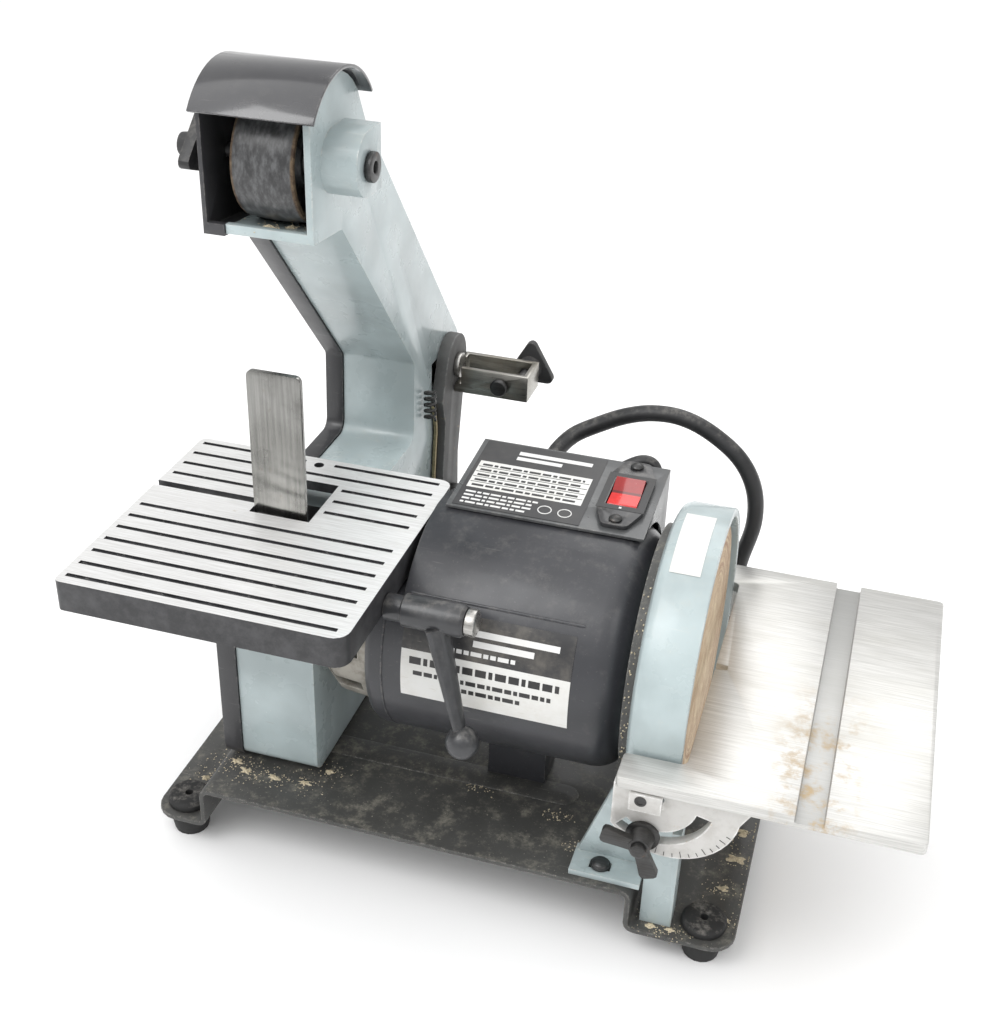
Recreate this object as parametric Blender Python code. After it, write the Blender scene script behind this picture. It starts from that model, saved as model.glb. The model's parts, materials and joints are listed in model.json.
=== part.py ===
"""Bench sander with a 25 mm belt and a 127 mm disc on one motor, modelled as separate pieces.

Sizes below are in millimetres. They are measured from the point where the motor shaft's axis
meets the plane of the disc guard's rim: +X runs along the shaft towards the disc, -Y is the
operator's side and +Z is up. world() turns such a place into metres in the part's own frame,
whose origin is on the floor under the middle of the machine.
"""
import math

import bmesh
import bpy
from mathutils import Matrix, Vector

MM = 0.001
GAP = 0.3                       # clearance between neighbouring pieces

# where the shaft's axis meets the guard's rim plane, in the part's frame
SHAFT_X, SHAFT_Y, SHAFT_Z = 84.25, -36.0, 126.0

# base pressing and feet
SHEET = 2.5
BASE_LEFT, BASE_RIGHT = -262.0, 33.0
BASE_FRONT, BASE_REAR = -69.0, 72.0
WEB_LEFT, WEB_RIGHT = -234.5, -16.0
TOP_PLATE_Z, FLANGE_Z = -87.4, -109.5
FOOT_LEFT_X, FOOT_RIGHT_X = -248.0, 17.5
FOOT_FRONT_Y, FOOT_REAR_Y = -55.0, 58.0
FOOT_HOLE_R = 6.0

# motor
MOTOR_LEFT, MOTOR_RIGHT, MOTOR_R = -150.0, -30.0, 58.5
MOTOR_WALL = 2.0
NOTCH_X, NOTCH_Z = -134.5, 35.0     # step in the motor's upper left that clears the belt table
SHAFT_R = 6.0
BEARING_R = 11.0

# control box on the motor's shoulder
BOX_LEFT, BOX_RIGHT = -129.5, -36.0
BOX_FRONT, BOX_REAR = -3.0, 58.0
BOX_TOP_FRONT, BOX_TOP_REAR = 60.5, 64.5
BOX_WALL = 1.8
SWITCH_X, SWITCH_Y = -51.2, 28.5
ROCKER_TILT_DEG = 7.0

# belt housing and its running gear
FRAME_LEFT, FRAME_RIGHT = -222.0, -182.0
FRAME_WALL = 3.0
COVER_LEFT = -232.0
BELT_X = -203.0
UPPER_Y, UPPER_Z, UPPER_R = 1.0, 213.6, 27.0
DRIVE_R = 26.0
IDLER_Y, IDLER_Z, IDLER_R = 151.0, 57.0, 17.0
ARM_PIVOT_Y, ARM_PIVOT_Z = 142.0, -22.0
ARM_THICK = 6.7
TRACKING_X, TRACKING_Z = -139.0, 50.5
HOOD_R = 40.0
PLATEN_FRONT = -25.0

# belt table
TABLE_LEFT, TABLE_RIGHT = -271.0, -137.0
TABLE_FRONT, TABLE_REAR = -108.0, 31.0
TABLE_TOP, TABLE_DEPTH = 52.6, 15.0
GROOVE_COUNT, GROOVE_FIRST_Y, GROOVE_PITCH = 13, -102.0, 10.67
GROOVE_WIDTH, PLAIN_ROW = 2.4, 7
TILT_Y, TILT_Z = -61.0, 39.5

# disc side
GUARD_R, GUARD_INNER_R, GUARD_DEPTH = 72.0, 68.0, 25.0
DISC_R = 63.5
DISC_TABLE_LEFT, DISC_TABLE_RIGHT, DISC_TABLE_HALF = -24.5, 102.5, 90.5
DISC_TABLE_TOP, DISC_TABLE_THICK = -2.0, 5.5
DISC_CUTOUT_X, DISC_CUTOUT_HALF = 2.5, 73.5
TRUNNION_X, TRUNNION_Z = -7.0, -12.0
TRUNNION_SLOT_R = 21.4
LOCK_X, LOCK_Z = -11.0, -33.0
STAND_SCREW_Y = 59.2

# cord: radius, and the places it passes, from the strain relief to the coil
CORD_R = 4.3
CORD_EXIT = (-104.0, 76.0, 38.0)
FLOOR_Z = -SHAFT_Z
COIL_X, COIL_Y = -75.0, 202.0
COIL_MEAN_R, COIL_HALF_WIDTH, COIL_HEIGHT = 47.0, 8.9, 26.0
CORD_ROUTE = [
    (-104.0, 76.6, 38.0), (-104.0, 86.5, 38.2), (-102.6, 98.0, 41.8), (-96.0, 107.5, 47.8),
    (-84.0, 111.8, 54.2), (-70.0, 112.2, 61.4), (-56.0, 112.0, 65.6), (-41.0, 112.0, 65.6),
    (-25.8, 112.0, 60.0), (-9.5, 112.0, 48.0), (0.0, 112.0, 32.0), (2.6, 112.0, 12.0),
    (-1.6, 112.5, -12.0), (-5.8, 114.0, -41.0), (-7.6, 118.5, -72.0), (-11.0, 130.0, -101.0),
    (-17.0, 146.0, -117.5), (-22.0, 160.0, -121.5), (-23.6, 169.3, -121.6),
]

PARTS = "bench_belt_disc_sander"
CUTTERS = "cutters"


# ---------------------------------------------------------------- helpers

def world(x, y, z):
    """Return the place in metres in the part's frame."""
    return Vector((SHAFT_X + x, SHAFT_Y + y, SHAFT_Z + z)) * MM


def clear_scene():
    """Remove every object and make the two collections."""
    for old in list(bpy.data.objects):
        bpy.data.objects.remove(old, do_unlink=True)
    for name in (PARTS, CUTTERS):
        group = bpy.data.collections.new(name)
        bpy.context.scene.collection.children.link(group)


def finish(name, colour, roughness, metallic=0.0):
    """Return the named Principled material, made on first use."""
    found = bpy.data.materials.get(name)
    if found:
        return found
    made = bpy.data.materials.new(name)
    made.use_nodes = True
    made.diffuse_color = (*colour, 1.0)
    shader = made.node_tree.nodes["Principled BSDF"]
    shader.inputs["Base Color"].default_value = (*colour, 1.0)
    shader.inputs["Roughness"].default_value = roughness
    shader.inputs["Metallic"].default_value = metallic
    return made


def black_paint():
    return finish("black_paint", (0.03, 0.03, 0.033), 0.45)


def blue_grey_paint():
    return finish("blue_grey_paint", (0.32, 0.42, 0.45), 0.42)


def aluminium():
    return finish("aluminium", (0.72, 0.72, 0.7), 0.35, 1.0)


def steel():
    return finish("steel", (0.45, 0.44, 0.43), 0.32, 1.0)


def dark_steel():
    return finish("dark_steel", (0.13, 0.13, 0.13), 0.4, 0.8)


def black_plastic():
    return finish("black_plastic", (0.02, 0.02, 0.022), 0.4)


def rubber():
    return finish("rubber", (0.018, 0.018, 0.018), 0.8)


def put(name, mesh, material, group=PARTS):
    """Make an object from a mesh, with one material, in a collection."""
    made = bpy.data.objects.new(name, mesh)
    mesh.materials.clear()
    mesh.materials.append(material)
    bpy.data.collections[group].objects.link(made)
    return made


def closed_mesh(name, bm):
    """Turn a bmesh into a mesh with its faces pointing out."""
    bmesh.ops.remove_doubles(bm, verts=bm.verts, dist=0.00001)
    bmesh.ops.recalc_face_normals(bm, faces=bm.faces)
    mesh = bpy.data.meshes.new(name)
    bm.to_mesh(mesh)
    bm.free()
    return mesh


def recentre(made, origin):
    """Move an object's origin to a place without moving its shape."""
    made.data.transform(Matrix.Translation(-origin) @ made.matrix_world)
    made.matrix_world = Matrix.Translation(origin)


def box(name, low, high, material):
    """Box between two corners, given in millimetres from the shaft."""
    low, high = world(*low), world(*high)
    bm = bmesh.new()
    bmesh.ops.create_cube(bm, size=1.0)
    bmesh.ops.scale(bm, vec=high - low, verts=bm.verts)
    made = put(name, closed_mesh(name, bm), material)
    made.location = (low + high) / 2
    return made


AXIS_TURN = {
    "x": Matrix(((0, 0, 1), (0, 1, 0), (-1, 0, 0))),      # local +Z to +X
    "y": Matrix(((1, 0, 0), (0, 0, 1), (0, -1, 0))),      # local +Z to +Y
    "z": Matrix.Identity(3),
}

# for a flat outline: where its own first and second axes and its thickness point
FLAT_TURN = {
    "x": Matrix(((0, 0, 1), (1, 0, 0), (0, 1, 0))),       # outline in Y and Z
    "y": Matrix(((1, 0, 0), (0, 0, -1), (0, 1, 0))),      # outline in X and Z
    "z": Matrix.Identity(3),                              # outline in X and Y
}


def turned(name, profile, material, axis="x", centre=(0.0, 0.0, 0.0), steps=40):
    """Turned piece. profile is (radius, place along the axis), a closed loop unless it ends on the axis.

    The place along the axis counts from the shaft's zero on that axis, not from centre.
    """
    bm = bmesh.new()
    places = [bm.verts.new((r * MM, 0.0, h * MM)) for r, h in profile]
    for first, second in zip(places, places[1:]):
        bm.edges.new((first, second))
    if profile[0][0] > 0 and profile[-1][0] > 0:
        bm.edges.new((places[-1], places[0]))
    bmesh.ops.spin(bm, geom=bm.verts[:] + bm.edges[:], axis=(0, 0, 1), cent=(0, 0, 0),
                   steps=steps, angle=math.tau, use_duplicate=False)
    made = put(name, closed_mesh(name, bm), material)
    made.data.transform(AXIS_TURN[axis].to_4x4())
    made.location = world(*centre)
    made.data.shade_smooth()
    made.data.set_sharp_from_angle(angle=math.radians(35))
    return made


def rod(name, start, length, radius, material, axis="x", steps=24):
    """Plain cylinder from start along an axis."""
    bm = bmesh.new()
    bmesh.ops.create_cone(bm, cap_ends=True, segments=steps, radius1=radius * MM, radius2=radius * MM,
                          depth=length * MM)
    made = put(name, closed_mesh(name, bm), material)
    made.data.transform((AXIS_TURN[axis].to_4x4()))
    middle = world(*start)
    middle["xyz".index(axis)] += length * MM / 2
    made.location = middle
    made.data.shade_smooth()
    made.data.set_sharp_from_angle(angle=math.radians(35))
    return made


def arc(centre, radius, start_deg, end_deg, steps=12):
    """Points of an arc, from one angle to the other."""
    span = end_deg - start_deg
    angles = [math.radians(start_deg + span * i / steps) for i in range(steps + 1)]
    return [(centre[0] + radius * math.cos(a), centre[1] + radius * math.sin(a)) for a in angles]


def rounded(corners, steps=5):
    """Outline through (x, y, radius) corners, each rounded by its radius."""
    outline = []
    for i, (x, y, radius) in enumerate(corners):
        here = Vector((x, y))
        if radius <= 0:
            outline.append((x, y))
            continue
        back = (Vector(corners[i - 1][:2]) - here).normalized()
        ahead = (Vector(corners[(i + 1) % len(corners)][:2]) - here).normalized()
        half = back.angle(ahead) / 2
        middle = here + (back + ahead).normalized() * (radius / math.sin(half))
        first = here + back * (radius / math.tan(half)) - middle
        last = here + ahead * (radius / math.tan(half)) - middle
        turn = first.angle_signed(last)
        for k in range(steps + 1):
            spoke = first.copy()
            spoke.rotate(Matrix.Rotation(-turn * k / steps, 2))
            outline.append(tuple(middle + spoke))
    return outline


def flat(name, outline, axis, start, thickness, material, holes=()):
    """Flat piece: an outline with holes, thick from start along an axis.

    axis x takes the outline in Y and Z, y in X and Z, and z in X and Y.
    """
    curve = bpy.data.curves.new(name, "CURVE")
    curve.dimensions = "2D"
    curve.fill_mode = "BOTH"
    curve.extrude = thickness * MM / 2
    for ring in (outline, *holes):
        spline = curve.splines.new("POLY")
        spline.points.add(len(ring) - 1)
        for point, (x, y) in zip(spline.points, ring):
            point.co = (x * MM, y * MM, 0.0, 1.0)
        spline.use_cyclic_u = True
    guide = bpy.data.objects.new(name + "_outline", curve)
    bpy.context.scene.collection.objects.link(guide)
    evaluated = guide.evaluated_get(bpy.context.evaluated_depsgraph_get())
    bm = bmesh.new()
    bm.from_mesh(bpy.data.meshes.new_from_object(evaluated))
    bpy.data.objects.remove(guide, do_unlink=True)
    made = put(name, closed_mesh(name, bm), material)
    made.data.transform(FLAT_TURN[axis].to_4x4())
    middle = world(0, 0, 0)
    middle["xyz".index(axis)] += (start + thickness / 2) * MM
    made.location = middle
    return made


def circle(x, y, radius, steps=24):
    """Round hole or disc outline."""
    return arc((x, y), radius, 0, 360 * (steps - 1) / steps, steps - 1)


def tube(name, points, radius, material, roundness=2):
    """Round bar or cord through points, with flat ends."""
    curve = bpy.data.curves.new(name, "CURVE")
    curve.dimensions = "3D"
    curve.bevel_depth = radius * MM
    curve.bevel_resolution = roundness
    curve.use_fill_caps = True
    spline = curve.splines.new("POLY")
    spline.points.add(len(points) - 1)
    for point, place in zip(spline.points, points):
        point.co = (*world(*place), 1.0)
    made = bpy.data.objects.new(name, curve)
    curve.materials.append(material)
    bpy.data.collections[PARTS].objects.link(made)
    return made


def through_points(route, count):
    """Places along a smooth curve through the route's points, spaced by its own parameter."""
    knots = [Vector(p) for p in route]
    knots = [2 * knots[0] - knots[1]] + knots + [2 * knots[-1] - knots[-2]]
    spans = len(route) - 1
    places = []
    for i in range(count):
        at = min(i / (count - 1) * spans, spans - 1e-6)
        k, t = int(at), at - int(at)
        a, b, c, d = knots[k:k + 4]
        places.append(0.5 * (2 * b + (c - a) * t + (2 * a - 5 * b + 4 * c - d) * t * t
                             + (3 * b - a - 3 * c + d) * t ** 3))
    return places


def combine(target, tool, operation):
    """Boolean with a second object, which becomes a hidden cutter."""
    bpy.data.collections[PARTS].objects.unlink(tool)
    bpy.data.collections[CUTTERS].objects.link(tool)
    tool.hide_render = True
    tool.display_type = "WIRE"
    tool.name = "tool_" + tool.name
    step = target.modifiers.new(operation.lower(), "BOOLEAN")
    step.operation = operation
    step.object = tool
    return target


def cut(target, *tools):
    """Cut the tools out of the target."""
    for tool in tools:
        combine(target, tool, "DIFFERENCE")
    return target


def join(target, *tools):
    """Weld the tools onto the target."""
    for tool in tools:
        combine(target, tool, "UNION")
    return target


def pivot_at(made, x, y, z):
    """Set a moving piece's origin on its joint's axis."""
    bpy.context.view_layer.update()
    recentre(made, world(x, y, z))
    return made


# ---------------------------------------------------------------- base

def base_plate():
    """Pressed steel base: a raised top plate, a web at each end and a foot flange on each web."""
    under = TOP_PLATE_Z - SHEET
    low = FLANGE_Z - SHEET
    section = rounded([
        (BASE_LEFT, FLANGE_Z, 0), (WEB_LEFT, FLANGE_Z, 2.5), (WEB_LEFT, TOP_PLATE_Z, 5),
        (WEB_RIGHT, TOP_PLATE_Z, 5), (WEB_RIGHT, FLANGE_Z, 2.5), (BASE_RIGHT, FLANGE_Z, 0),
        (BASE_RIGHT, low, 0), (WEB_RIGHT - SHEET, low, 5), (WEB_RIGHT - SHEET, under, 2.5),
        (WEB_LEFT + SHEET, under, 2.5), (WEB_LEFT + SHEET, low, 5), (BASE_LEFT, low, 0)], 3)
    plate = flat("base_plate", section, "y", BASE_FRONT, BASE_REAR - BASE_FRONT, black_paint())
    corner = 12
    plan = rounded([(BASE_LEFT, BASE_FRONT, corner), (BASE_RIGHT, BASE_FRONT, corner),
                    (BASE_RIGHT, BASE_REAR, corner), (BASE_LEFT, BASE_REAR, corner)])
    holes = [circle(x, y, FOOT_HOLE_R, 16) for x, y in foot_places().values()]
    keep = flat("plan", plan, "z", FLANGE_Z - 10, 50, black_paint(), holes)
    return combine(plate, keep, "INTERSECT")


def foot_places():
    """Name and plan position of each rubber foot."""
    return {
        "front_left_foot": (FOOT_LEFT_X, FOOT_FRONT_Y), "front_right_foot": (FOOT_RIGHT_X, FOOT_FRONT_Y),
        "rear_left_foot": (FOOT_LEFT_X, FOOT_REAR_Y), "rear_right_foot": (FOOT_RIGHT_X, FOOT_REAR_Y)}


def feet():
    """Four rubber grommet feet, each with a neck through the flange and a screw hole."""
    top, low = FLANGE_Z + GAP, FLANGE_Z - SHEET - GAP
    neck, hole = FOOT_HOLE_R - GAP, 1.9
    profile = [(hole, top + 4.5), (9.5, top + 4.5), (10.8, top + 3), (10.8, top), (neck, top), (neck, low),
               (10.3, low), (9.8, low - 6), (8.6, FLOOR_Z), (hole, FLOOR_Z)]
    for name, (x, y) in foot_places().items():
        turned(name, profile, rubber(), "z", (x, y, 0), 18)


# ---------------------------------------------------------------- motor

def notch(inset):
    """Tool that clears the belt table from the motor's upper left, inset by a wall."""
    return box("notch", (FRAME_RIGHT - 5, -80, NOTCH_Z - inset), (NOTCH_X + inset, 80, 80), black_paint())


def motor_housing():
    """Black shell over the motor, open at the left, with a domed right end and a step under the table."""
    left, right, radius, dome, wall = MOTOR_LEFT, MOTOR_RIGHT, MOTOR_R, 15, MOTOR_WALL
    outer = [(0, right)] + [(radius - dome + y, right - dome + x) for x, y in arc((0, 0), dome, 0, 90, 7)]
    outer += [(radius, left + 3), (radius - 2, left), (0, left)]
    shell = turned("motor_housing", outer, black_paint(), steps=44)
    small, inside = dome - wall, radius - wall
    lining = [(0, right - wall)] + [(inside - small + y, right - dome + x) for x, y in arc((0, 0), small, 0, 90, 5)]
    lining += [(inside, left - 1), (0, left - 1)]
    hollow = cut(turned("hollow", lining, black_paint(), steps=44), notch(wall))
    return cut(shell, notch(0), hollow, rod("shaft_way", (right - 10, 0, 0), 20, 12, black_paint()))


def motor_end_bell():
    """Cast aluminium left end of the motor, vented, with the seat of the left bearing."""
    left, right = FRAME_RIGHT + GAP, MOTOR_LEFT - GAP
    bell = turned("motor_end_bell", [(0, left), (38, left), (48, left + 12), (50, right), (0, right)],
                  aluminium(), steps=36)
    hollow = turned("hollow", [(0, left + 3.5), (36.5, left + 3.5), (44.5, left + 13.5), (46.5, right + 1),
                               (0, right + 1)], aluminium(), steps=36)
    cut(bell, notch(0), cut(hollow, notch(2.5)))
    join(bell, rod("seat", (left + 1, 0, 0), 13, 16, aluminium()))
    for i in range(8):
        vent = box("vent", (left + 7, 30, -4), (right - 6, 60, 4), aluminium())
        vent.data.transform(Matrix.Translation(vent.location - world(0, 0, 0)))
        vent.location = world(0, 0, 0)
        vent.rotation_euler.x = math.radians(148 + 30 * i)
        cut(bell, vent)
    return cut(bell, rod("bearing_way", (left - 1, 0, 0), 20, BEARING_R + GAP, aluminium()))


def motor_end_plate():
    """Plate inside the shell that holds the right bearing."""
    seat = BEARING_R + GAP
    return turned("motor_end_plate", [(seat, -48), (seat, -38), (15, -38), (17, -43), (53, -43), (53, -48)],
                  aluminium(), steps=32)


def motor_foot():
    """Block that stands the motor on the base."""
    block = box("motor_foot", (-103, -10.5, TOP_PLATE_Z + GAP), (-73, 10.5, -40), black_paint())
    return cut(block, rod("shell", (-110, 0, 0), 45, MOTOR_R + GAP, black_paint(), steps=56))


def motor_inside():
    """Stator, rotor, cooling fan, bearings and shaft."""
    turned("stator", [(34, -128), (56, -128), (56, -60), (34, -60)], dark_steel(), steps=32)
    bore = SHAFT_R + GAP
    turned("rotor", [(bore, -126), (31, -126), (33, -124), (33, -64), (31, -62), (bore, -62)], steel(), steps=32)
    fan = turned("cooling_fan", [(bore, -147), (11, -147), (12, -145), (30, -143), (30, -141.5), (12, -141.5),
                                 (12, -134), (bore, -134)], black_plastic(), steps=24)
    for i in range(6):
        blade = box("blade", (-142.5, 11, -1), (-133, 29.5, 1), black_plastic())
        blade.data.transform(Matrix.Translation(blade.location - world(0, 0, 0)))
        blade.location = world(0, 0, 0)
        blade.rotation_euler.x = math.radians(60 * i)
        join(fan, blade)
    for name, left in (("left_bearing", FRAME_RIGHT + 5), ("right_bearing", -46.5)):
        turned(name, [(SHAFT_R + GAP, left), (BEARING_R, left), (BEARING_R, left + 8), (SHAFT_R + GAP, left + 8)],
               steel(), steps=24)
    shaft_left, shaft_right = BELT_X - 20, -12.0
    return turned("motor_shaft", [(0, shaft_right), (SHAFT_R - 0.5, shaft_right), (SHAFT_R, shaft_right - 1),
                                  (SHAFT_R, shaft_left + 1), (SHAFT_R - 0.5, shaft_left), (0, shaft_left)],
                  steel(), steps=20)


# ---------------------------------------------------------------- control box

def box_top(y):
    """Height of the control box's sloping top at a depth."""
    share = (y - BOX_FRONT) / (BOX_REAR - BOX_FRONT)
    return BOX_TOP_FRONT + share * (BOX_TOP_REAR - BOX_TOP_FRONT)


def box_slope():
    """Slope of the control box's top in radians."""
    return math.atan2(BOX_TOP_REAR - BOX_TOP_FRONT, BOX_REAR - BOX_FRONT)


def control_box():
    """Steel box on the motor's shoulder, with walls at its ends and rear, open to the motor."""
    seat = MOTOR_R + GAP + 0.3
    low = math.degrees(math.asin(16 / seat))
    high = 90 - math.degrees(math.asin(BOX_FRONT / seat))
    outline = [(BOX_FRONT, BOX_TOP_FRONT), (BOX_REAR, BOX_TOP_REAR), (BOX_REAR, 16)]
    outline += arc((0, 0), seat, low, high, 16)
    shell = flat("control_box", outline, "x", BOX_LEFT, BOX_RIGHT - BOX_LEFT, blue_grey_paint())
    inner = [(8, box_top(8) - BOX_WALL), (BOX_REAR - BOX_WALL, BOX_TOP_REAR - BOX_WALL),
             (BOX_REAR - BOX_WALL, 8), (30, 8)]
    hollow = flat("hollow", inner, "x", BOX_LEFT + BOX_WALL, BOX_RIGHT - BOX_LEFT - 2 * BOX_WALL, blue_grey_paint())
    window = box("window", (SWITCH_X - 8, SWITCH_Y - 12, 50), (SWITCH_X + 8, SWITCH_Y + 12, 75), blue_grey_paint())
    gland = rod("gland", (CORD_EXIT[0], 50, CORD_EXIT[2]), 20, 7, blue_grey_paint(), "y")
    return cut(shell, hollow, window, gland)


def switch_bezel():
    """Screwed plate around the rocker switch, lying on the box's sloping top."""
    half_length = 27.5
    outline = rounded([(-6, -half_length, 3), (6, -half_length, 3), (11, -14, 2), (11, 14, 2), (6, half_length, 3),
                       (-6, half_length, 3), (-11, 14, 2), (-11, -14, 2)], 3)
    window = [(-7.4, -11.4), (7.4, -11.4), (7.4, 11.4), (-7.4, 11.4)]
    holes = [window] + [circle(0, y, 1.9, 12) for y in (-23, 23)]
    plate = flat("switch_bezel", outline, "z", GAP, 2.0, black_plastic(), holes)
    return on_box_top(plate)


def on_box_top(piece):
    """Lay a piece made around the shaft's zero on the box's top at the switch."""
    bpy.context.view_layer.update()
    piece.data.transform(Matrix.Translation(piece.location - world(0, 0, 0)))
    piece.location = world(SWITCH_X, SWITCH_Y, box_top(SWITCH_Y))
    piece.rotation_euler.x = box_slope()
    return piece


def bezel_screws():
    """Two round-head screws, one at each end of the bezel."""
    for name, y in (("front_bezel_screw", -23), ("rear_bezel_screw", 23)):
        lift = GAP + 2.0 + GAP
        screw = turned(name, [(0, lift + 1.8), (1.6, lift + 1.6), (3.0, lift + 0.6), (3.2, lift), (1.5, lift),
                              (1.5, GAP + 0.4), (0, GAP + 0.4)], dark_steel(), "z", (0, 0, 0), 16)
        bpy.context.view_layer.update()
        screw.location = world(SWITCH_X, SWITCH_Y + y * math.cos(box_slope()),
                               box_top(SWITCH_Y) + y * math.sin(box_slope()))
        screw.rotation_euler.x = box_slope()


def rocker():
    """Red rocker of the switch, at rest with its front half down."""
    outline = rounded([(-10.4, -5, 0), (10.4, -5, 0), (10.6, 3.4, 1), (0, 1.6, 0), (-10.6, 3.4, 1)], 3)
    key = flat("rocker_switch", outline, "x", -7, 14, finish("red_plastic", (0.75, 0.03, 0.02), 0.3))
    on_box_top(key)
    key.rotation_euler.x += math.radians(ROCKER_TILT_DEG)
    return key


def strain_relief():
    """Tapered sleeve where the cord leaves the box's rear wall, with a flange on each side of it."""
    exit_x, end, exit_z = CORD_EXIT
    wall_in, wall_out = BOX_REAR - BOX_WALL - GAP, BOX_REAR + GAP
    return turned("strain_relief", [
        (0, end), (5.4, end), (7.2, wall_out + 6), (9.0, wall_out + 3), (9.0, wall_out), (6.7, wall_out),
        (6.7, wall_in), (8.6, wall_in), (8.6, wall_in - 2.5), (0, wall_in - 2.5)],
        rubber(), "y", (exit_x, 0, exit_z), 20)


# ---------------------------------------------------------------- belt housing

def frame_outline():
    """Side outline of the belt housing in Y and Z: lower box, throat, arm and wheel end."""
    crown = [(y, z, 0) for y, z in arc((UPPER_Y, UPPER_Z), HOOD_R - 3, 124, 40, 8)]
    front = [(-42, -84, 6), (-42, 33, 14), (99, 33, 7), (100.6, 77.6, 5), (8, 182, 3), (-22, 184.8, 0), (-22, 238, 0)]
    rear = [(38, 222, 0), (174, 66, 14), (174, -12, 20), (150, -46, 20), (70, -84, 12)]
    return rounded(front + crown + rear, 4)


def offset(outline, distance):
    """Outline moved inwards by a distance (outwards where negative)."""
    area = sum(a[0] * b[1] - b[0] * a[1] for a, b in zip(outline, outline[1:] + outline[:1]))
    side = 1 if area > 0 else -1
    moved = []
    for i, here in enumerate(outline):
        before = Vector(here) - Vector(outline[i - 1])
        after = Vector(outline[(i + 1) % len(outline)]) - Vector(here)
        first = Vector((-before.y, before.x)).normalized() * side
        second = Vector((-after.y, after.x)).normalized() * side
        middle = (first + second).normalized()
        moved.append(tuple(Vector(here) + middle * (distance / max(0.3, middle.dot(first)))))
    return moved


def belt_frame():
    """Blue-grey housing: a right wall with a rim all round, open at the left under the side cover."""
    outline = frame_outline()
    frame = flat("belt_frame", outline, "x", FRAME_LEFT, FRAME_RIGHT - FRAME_LEFT, blue_grey_paint())
    inside = flat("inside", offset(outline, FRAME_WALL), "x", FRAME_LEFT - 1,
                  FRAME_RIGHT - FRAME_WALL - FRAME_LEFT + 1, blue_grey_paint())
    boss_outline = arc((UPPER_Y, UPPER_Z + 1), 14, 90, 270, 12) + [(UPPER_Y + 14, UPPER_Z - 13),
                                                                  (UPPER_Y + 14, UPPER_Z + 15)]
    boss = flat("boss", boss_outline, "x", FRAME_RIGHT - 1, 17, blue_grey_paint())
    mouth = box("mouth", (FRAME_LEFT - 1, -30, 189), (FRAME_RIGHT - FRAME_WALL, -12, 243), blue_grey_paint())
    belt_way = box("belt_way", (-219, -32, 26), (FRAME_RIGHT - FRAME_WALL - 1, -18, 36), blue_grey_paint())
    shaft_way = rod("shaft_way", (-190, 0, 0), 20, 13, blue_grey_paint())
    axle_way = rod("axle_way", (-190, UPPER_Y, UPPER_Z), 40, 5.3, blue_grey_paint())
    idler_way = box("idler_way", (-190, 128, 48.5), (-175, 165, 65.5), blue_grey_paint())
    pivot_way = rod("pivot_way", (-190, ARM_PIVOT_Y, ARM_PIVOT_Z), 20, 4.3, blue_grey_paint())
    join(frame, boss)
    return cut(frame, inside, mouth, belt_way, shaft_way, axle_way, idler_way, pivot_way)


def side_cover():
    """Black cover over the housing's open left side: a pan with a rim that meets the housing."""
    outline = frame_outline()
    cover = flat("side_cover", offset(outline, -1.0), "x", COVER_LEFT, FRAME_LEFT - GAP - COVER_LEFT, black_paint())
    inside = flat("inside", offset(outline, 2.0), "x", COVER_LEFT + 2, 20, black_paint())
    mouth = box("mouth", (COVER_LEFT + 2, -30, 189), (FRAME_LEFT + 2, -12, 262), black_paint())
    ways = [rod("stud_way", (COVER_LEFT - 5, y, z), 12, 3.3, black_paint(), steps=16) for y, z in knob_places().values()]
    return cut(cover, inside, mouth, *ways)


def knob_places():
    """Name and place of each of the cover's two knobs."""
    return {"upper_cover_knob": (UPPER_Y, UPPER_Z), "lower_cover_knob": (60.0, -30.0)}


def triangle(radius, corner, turn=90):
    """Rounded triangle with its first corner at an angle."""
    return rounded([(radius * math.cos(a), radius * math.sin(a), corner)
                    for a in [math.radians(turn + 120 * i) for i in range(3)]], 4)


def cover_knobs():
    """Triangular knobs that hold the side cover, each on a short stud."""
    for name, (y, z) in knob_places().items():
        shape = [(y + u, z + v) for u, v in triangle(21, 3, 71)]
        knob = flat(name, shape, "x", COVER_LEFT - 13, 5, black_plastic())
        hub = turned("hub", [(0, COVER_LEFT - 20), (5, COVER_LEFT - 20), (6, COVER_LEFT - 12), (7, COVER_LEFT - GAP),
                             (3, COVER_LEFT - GAP), (3, COVER_LEFT + 5), (0, COVER_LEFT + 5)],
                     black_plastic(), "x", (0, y, z), 20)
        join(knob, hub)
        pivot_at(knob, 0, y, z)


def wheel_hood():
    """Curved sheet hood over the upper wheel."""
    thick = 1.5
    sheet = arc((UPPER_Y, UPPER_Z), HOOD_R, 143, 35, 18) + arc((UPPER_Y, UPPER_Z), HOOD_R - thick, 35, 143, 18)
    return flat("wheel_hood", sheet, "x", COVER_LEFT + 0.5, 55, black_paint())


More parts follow.
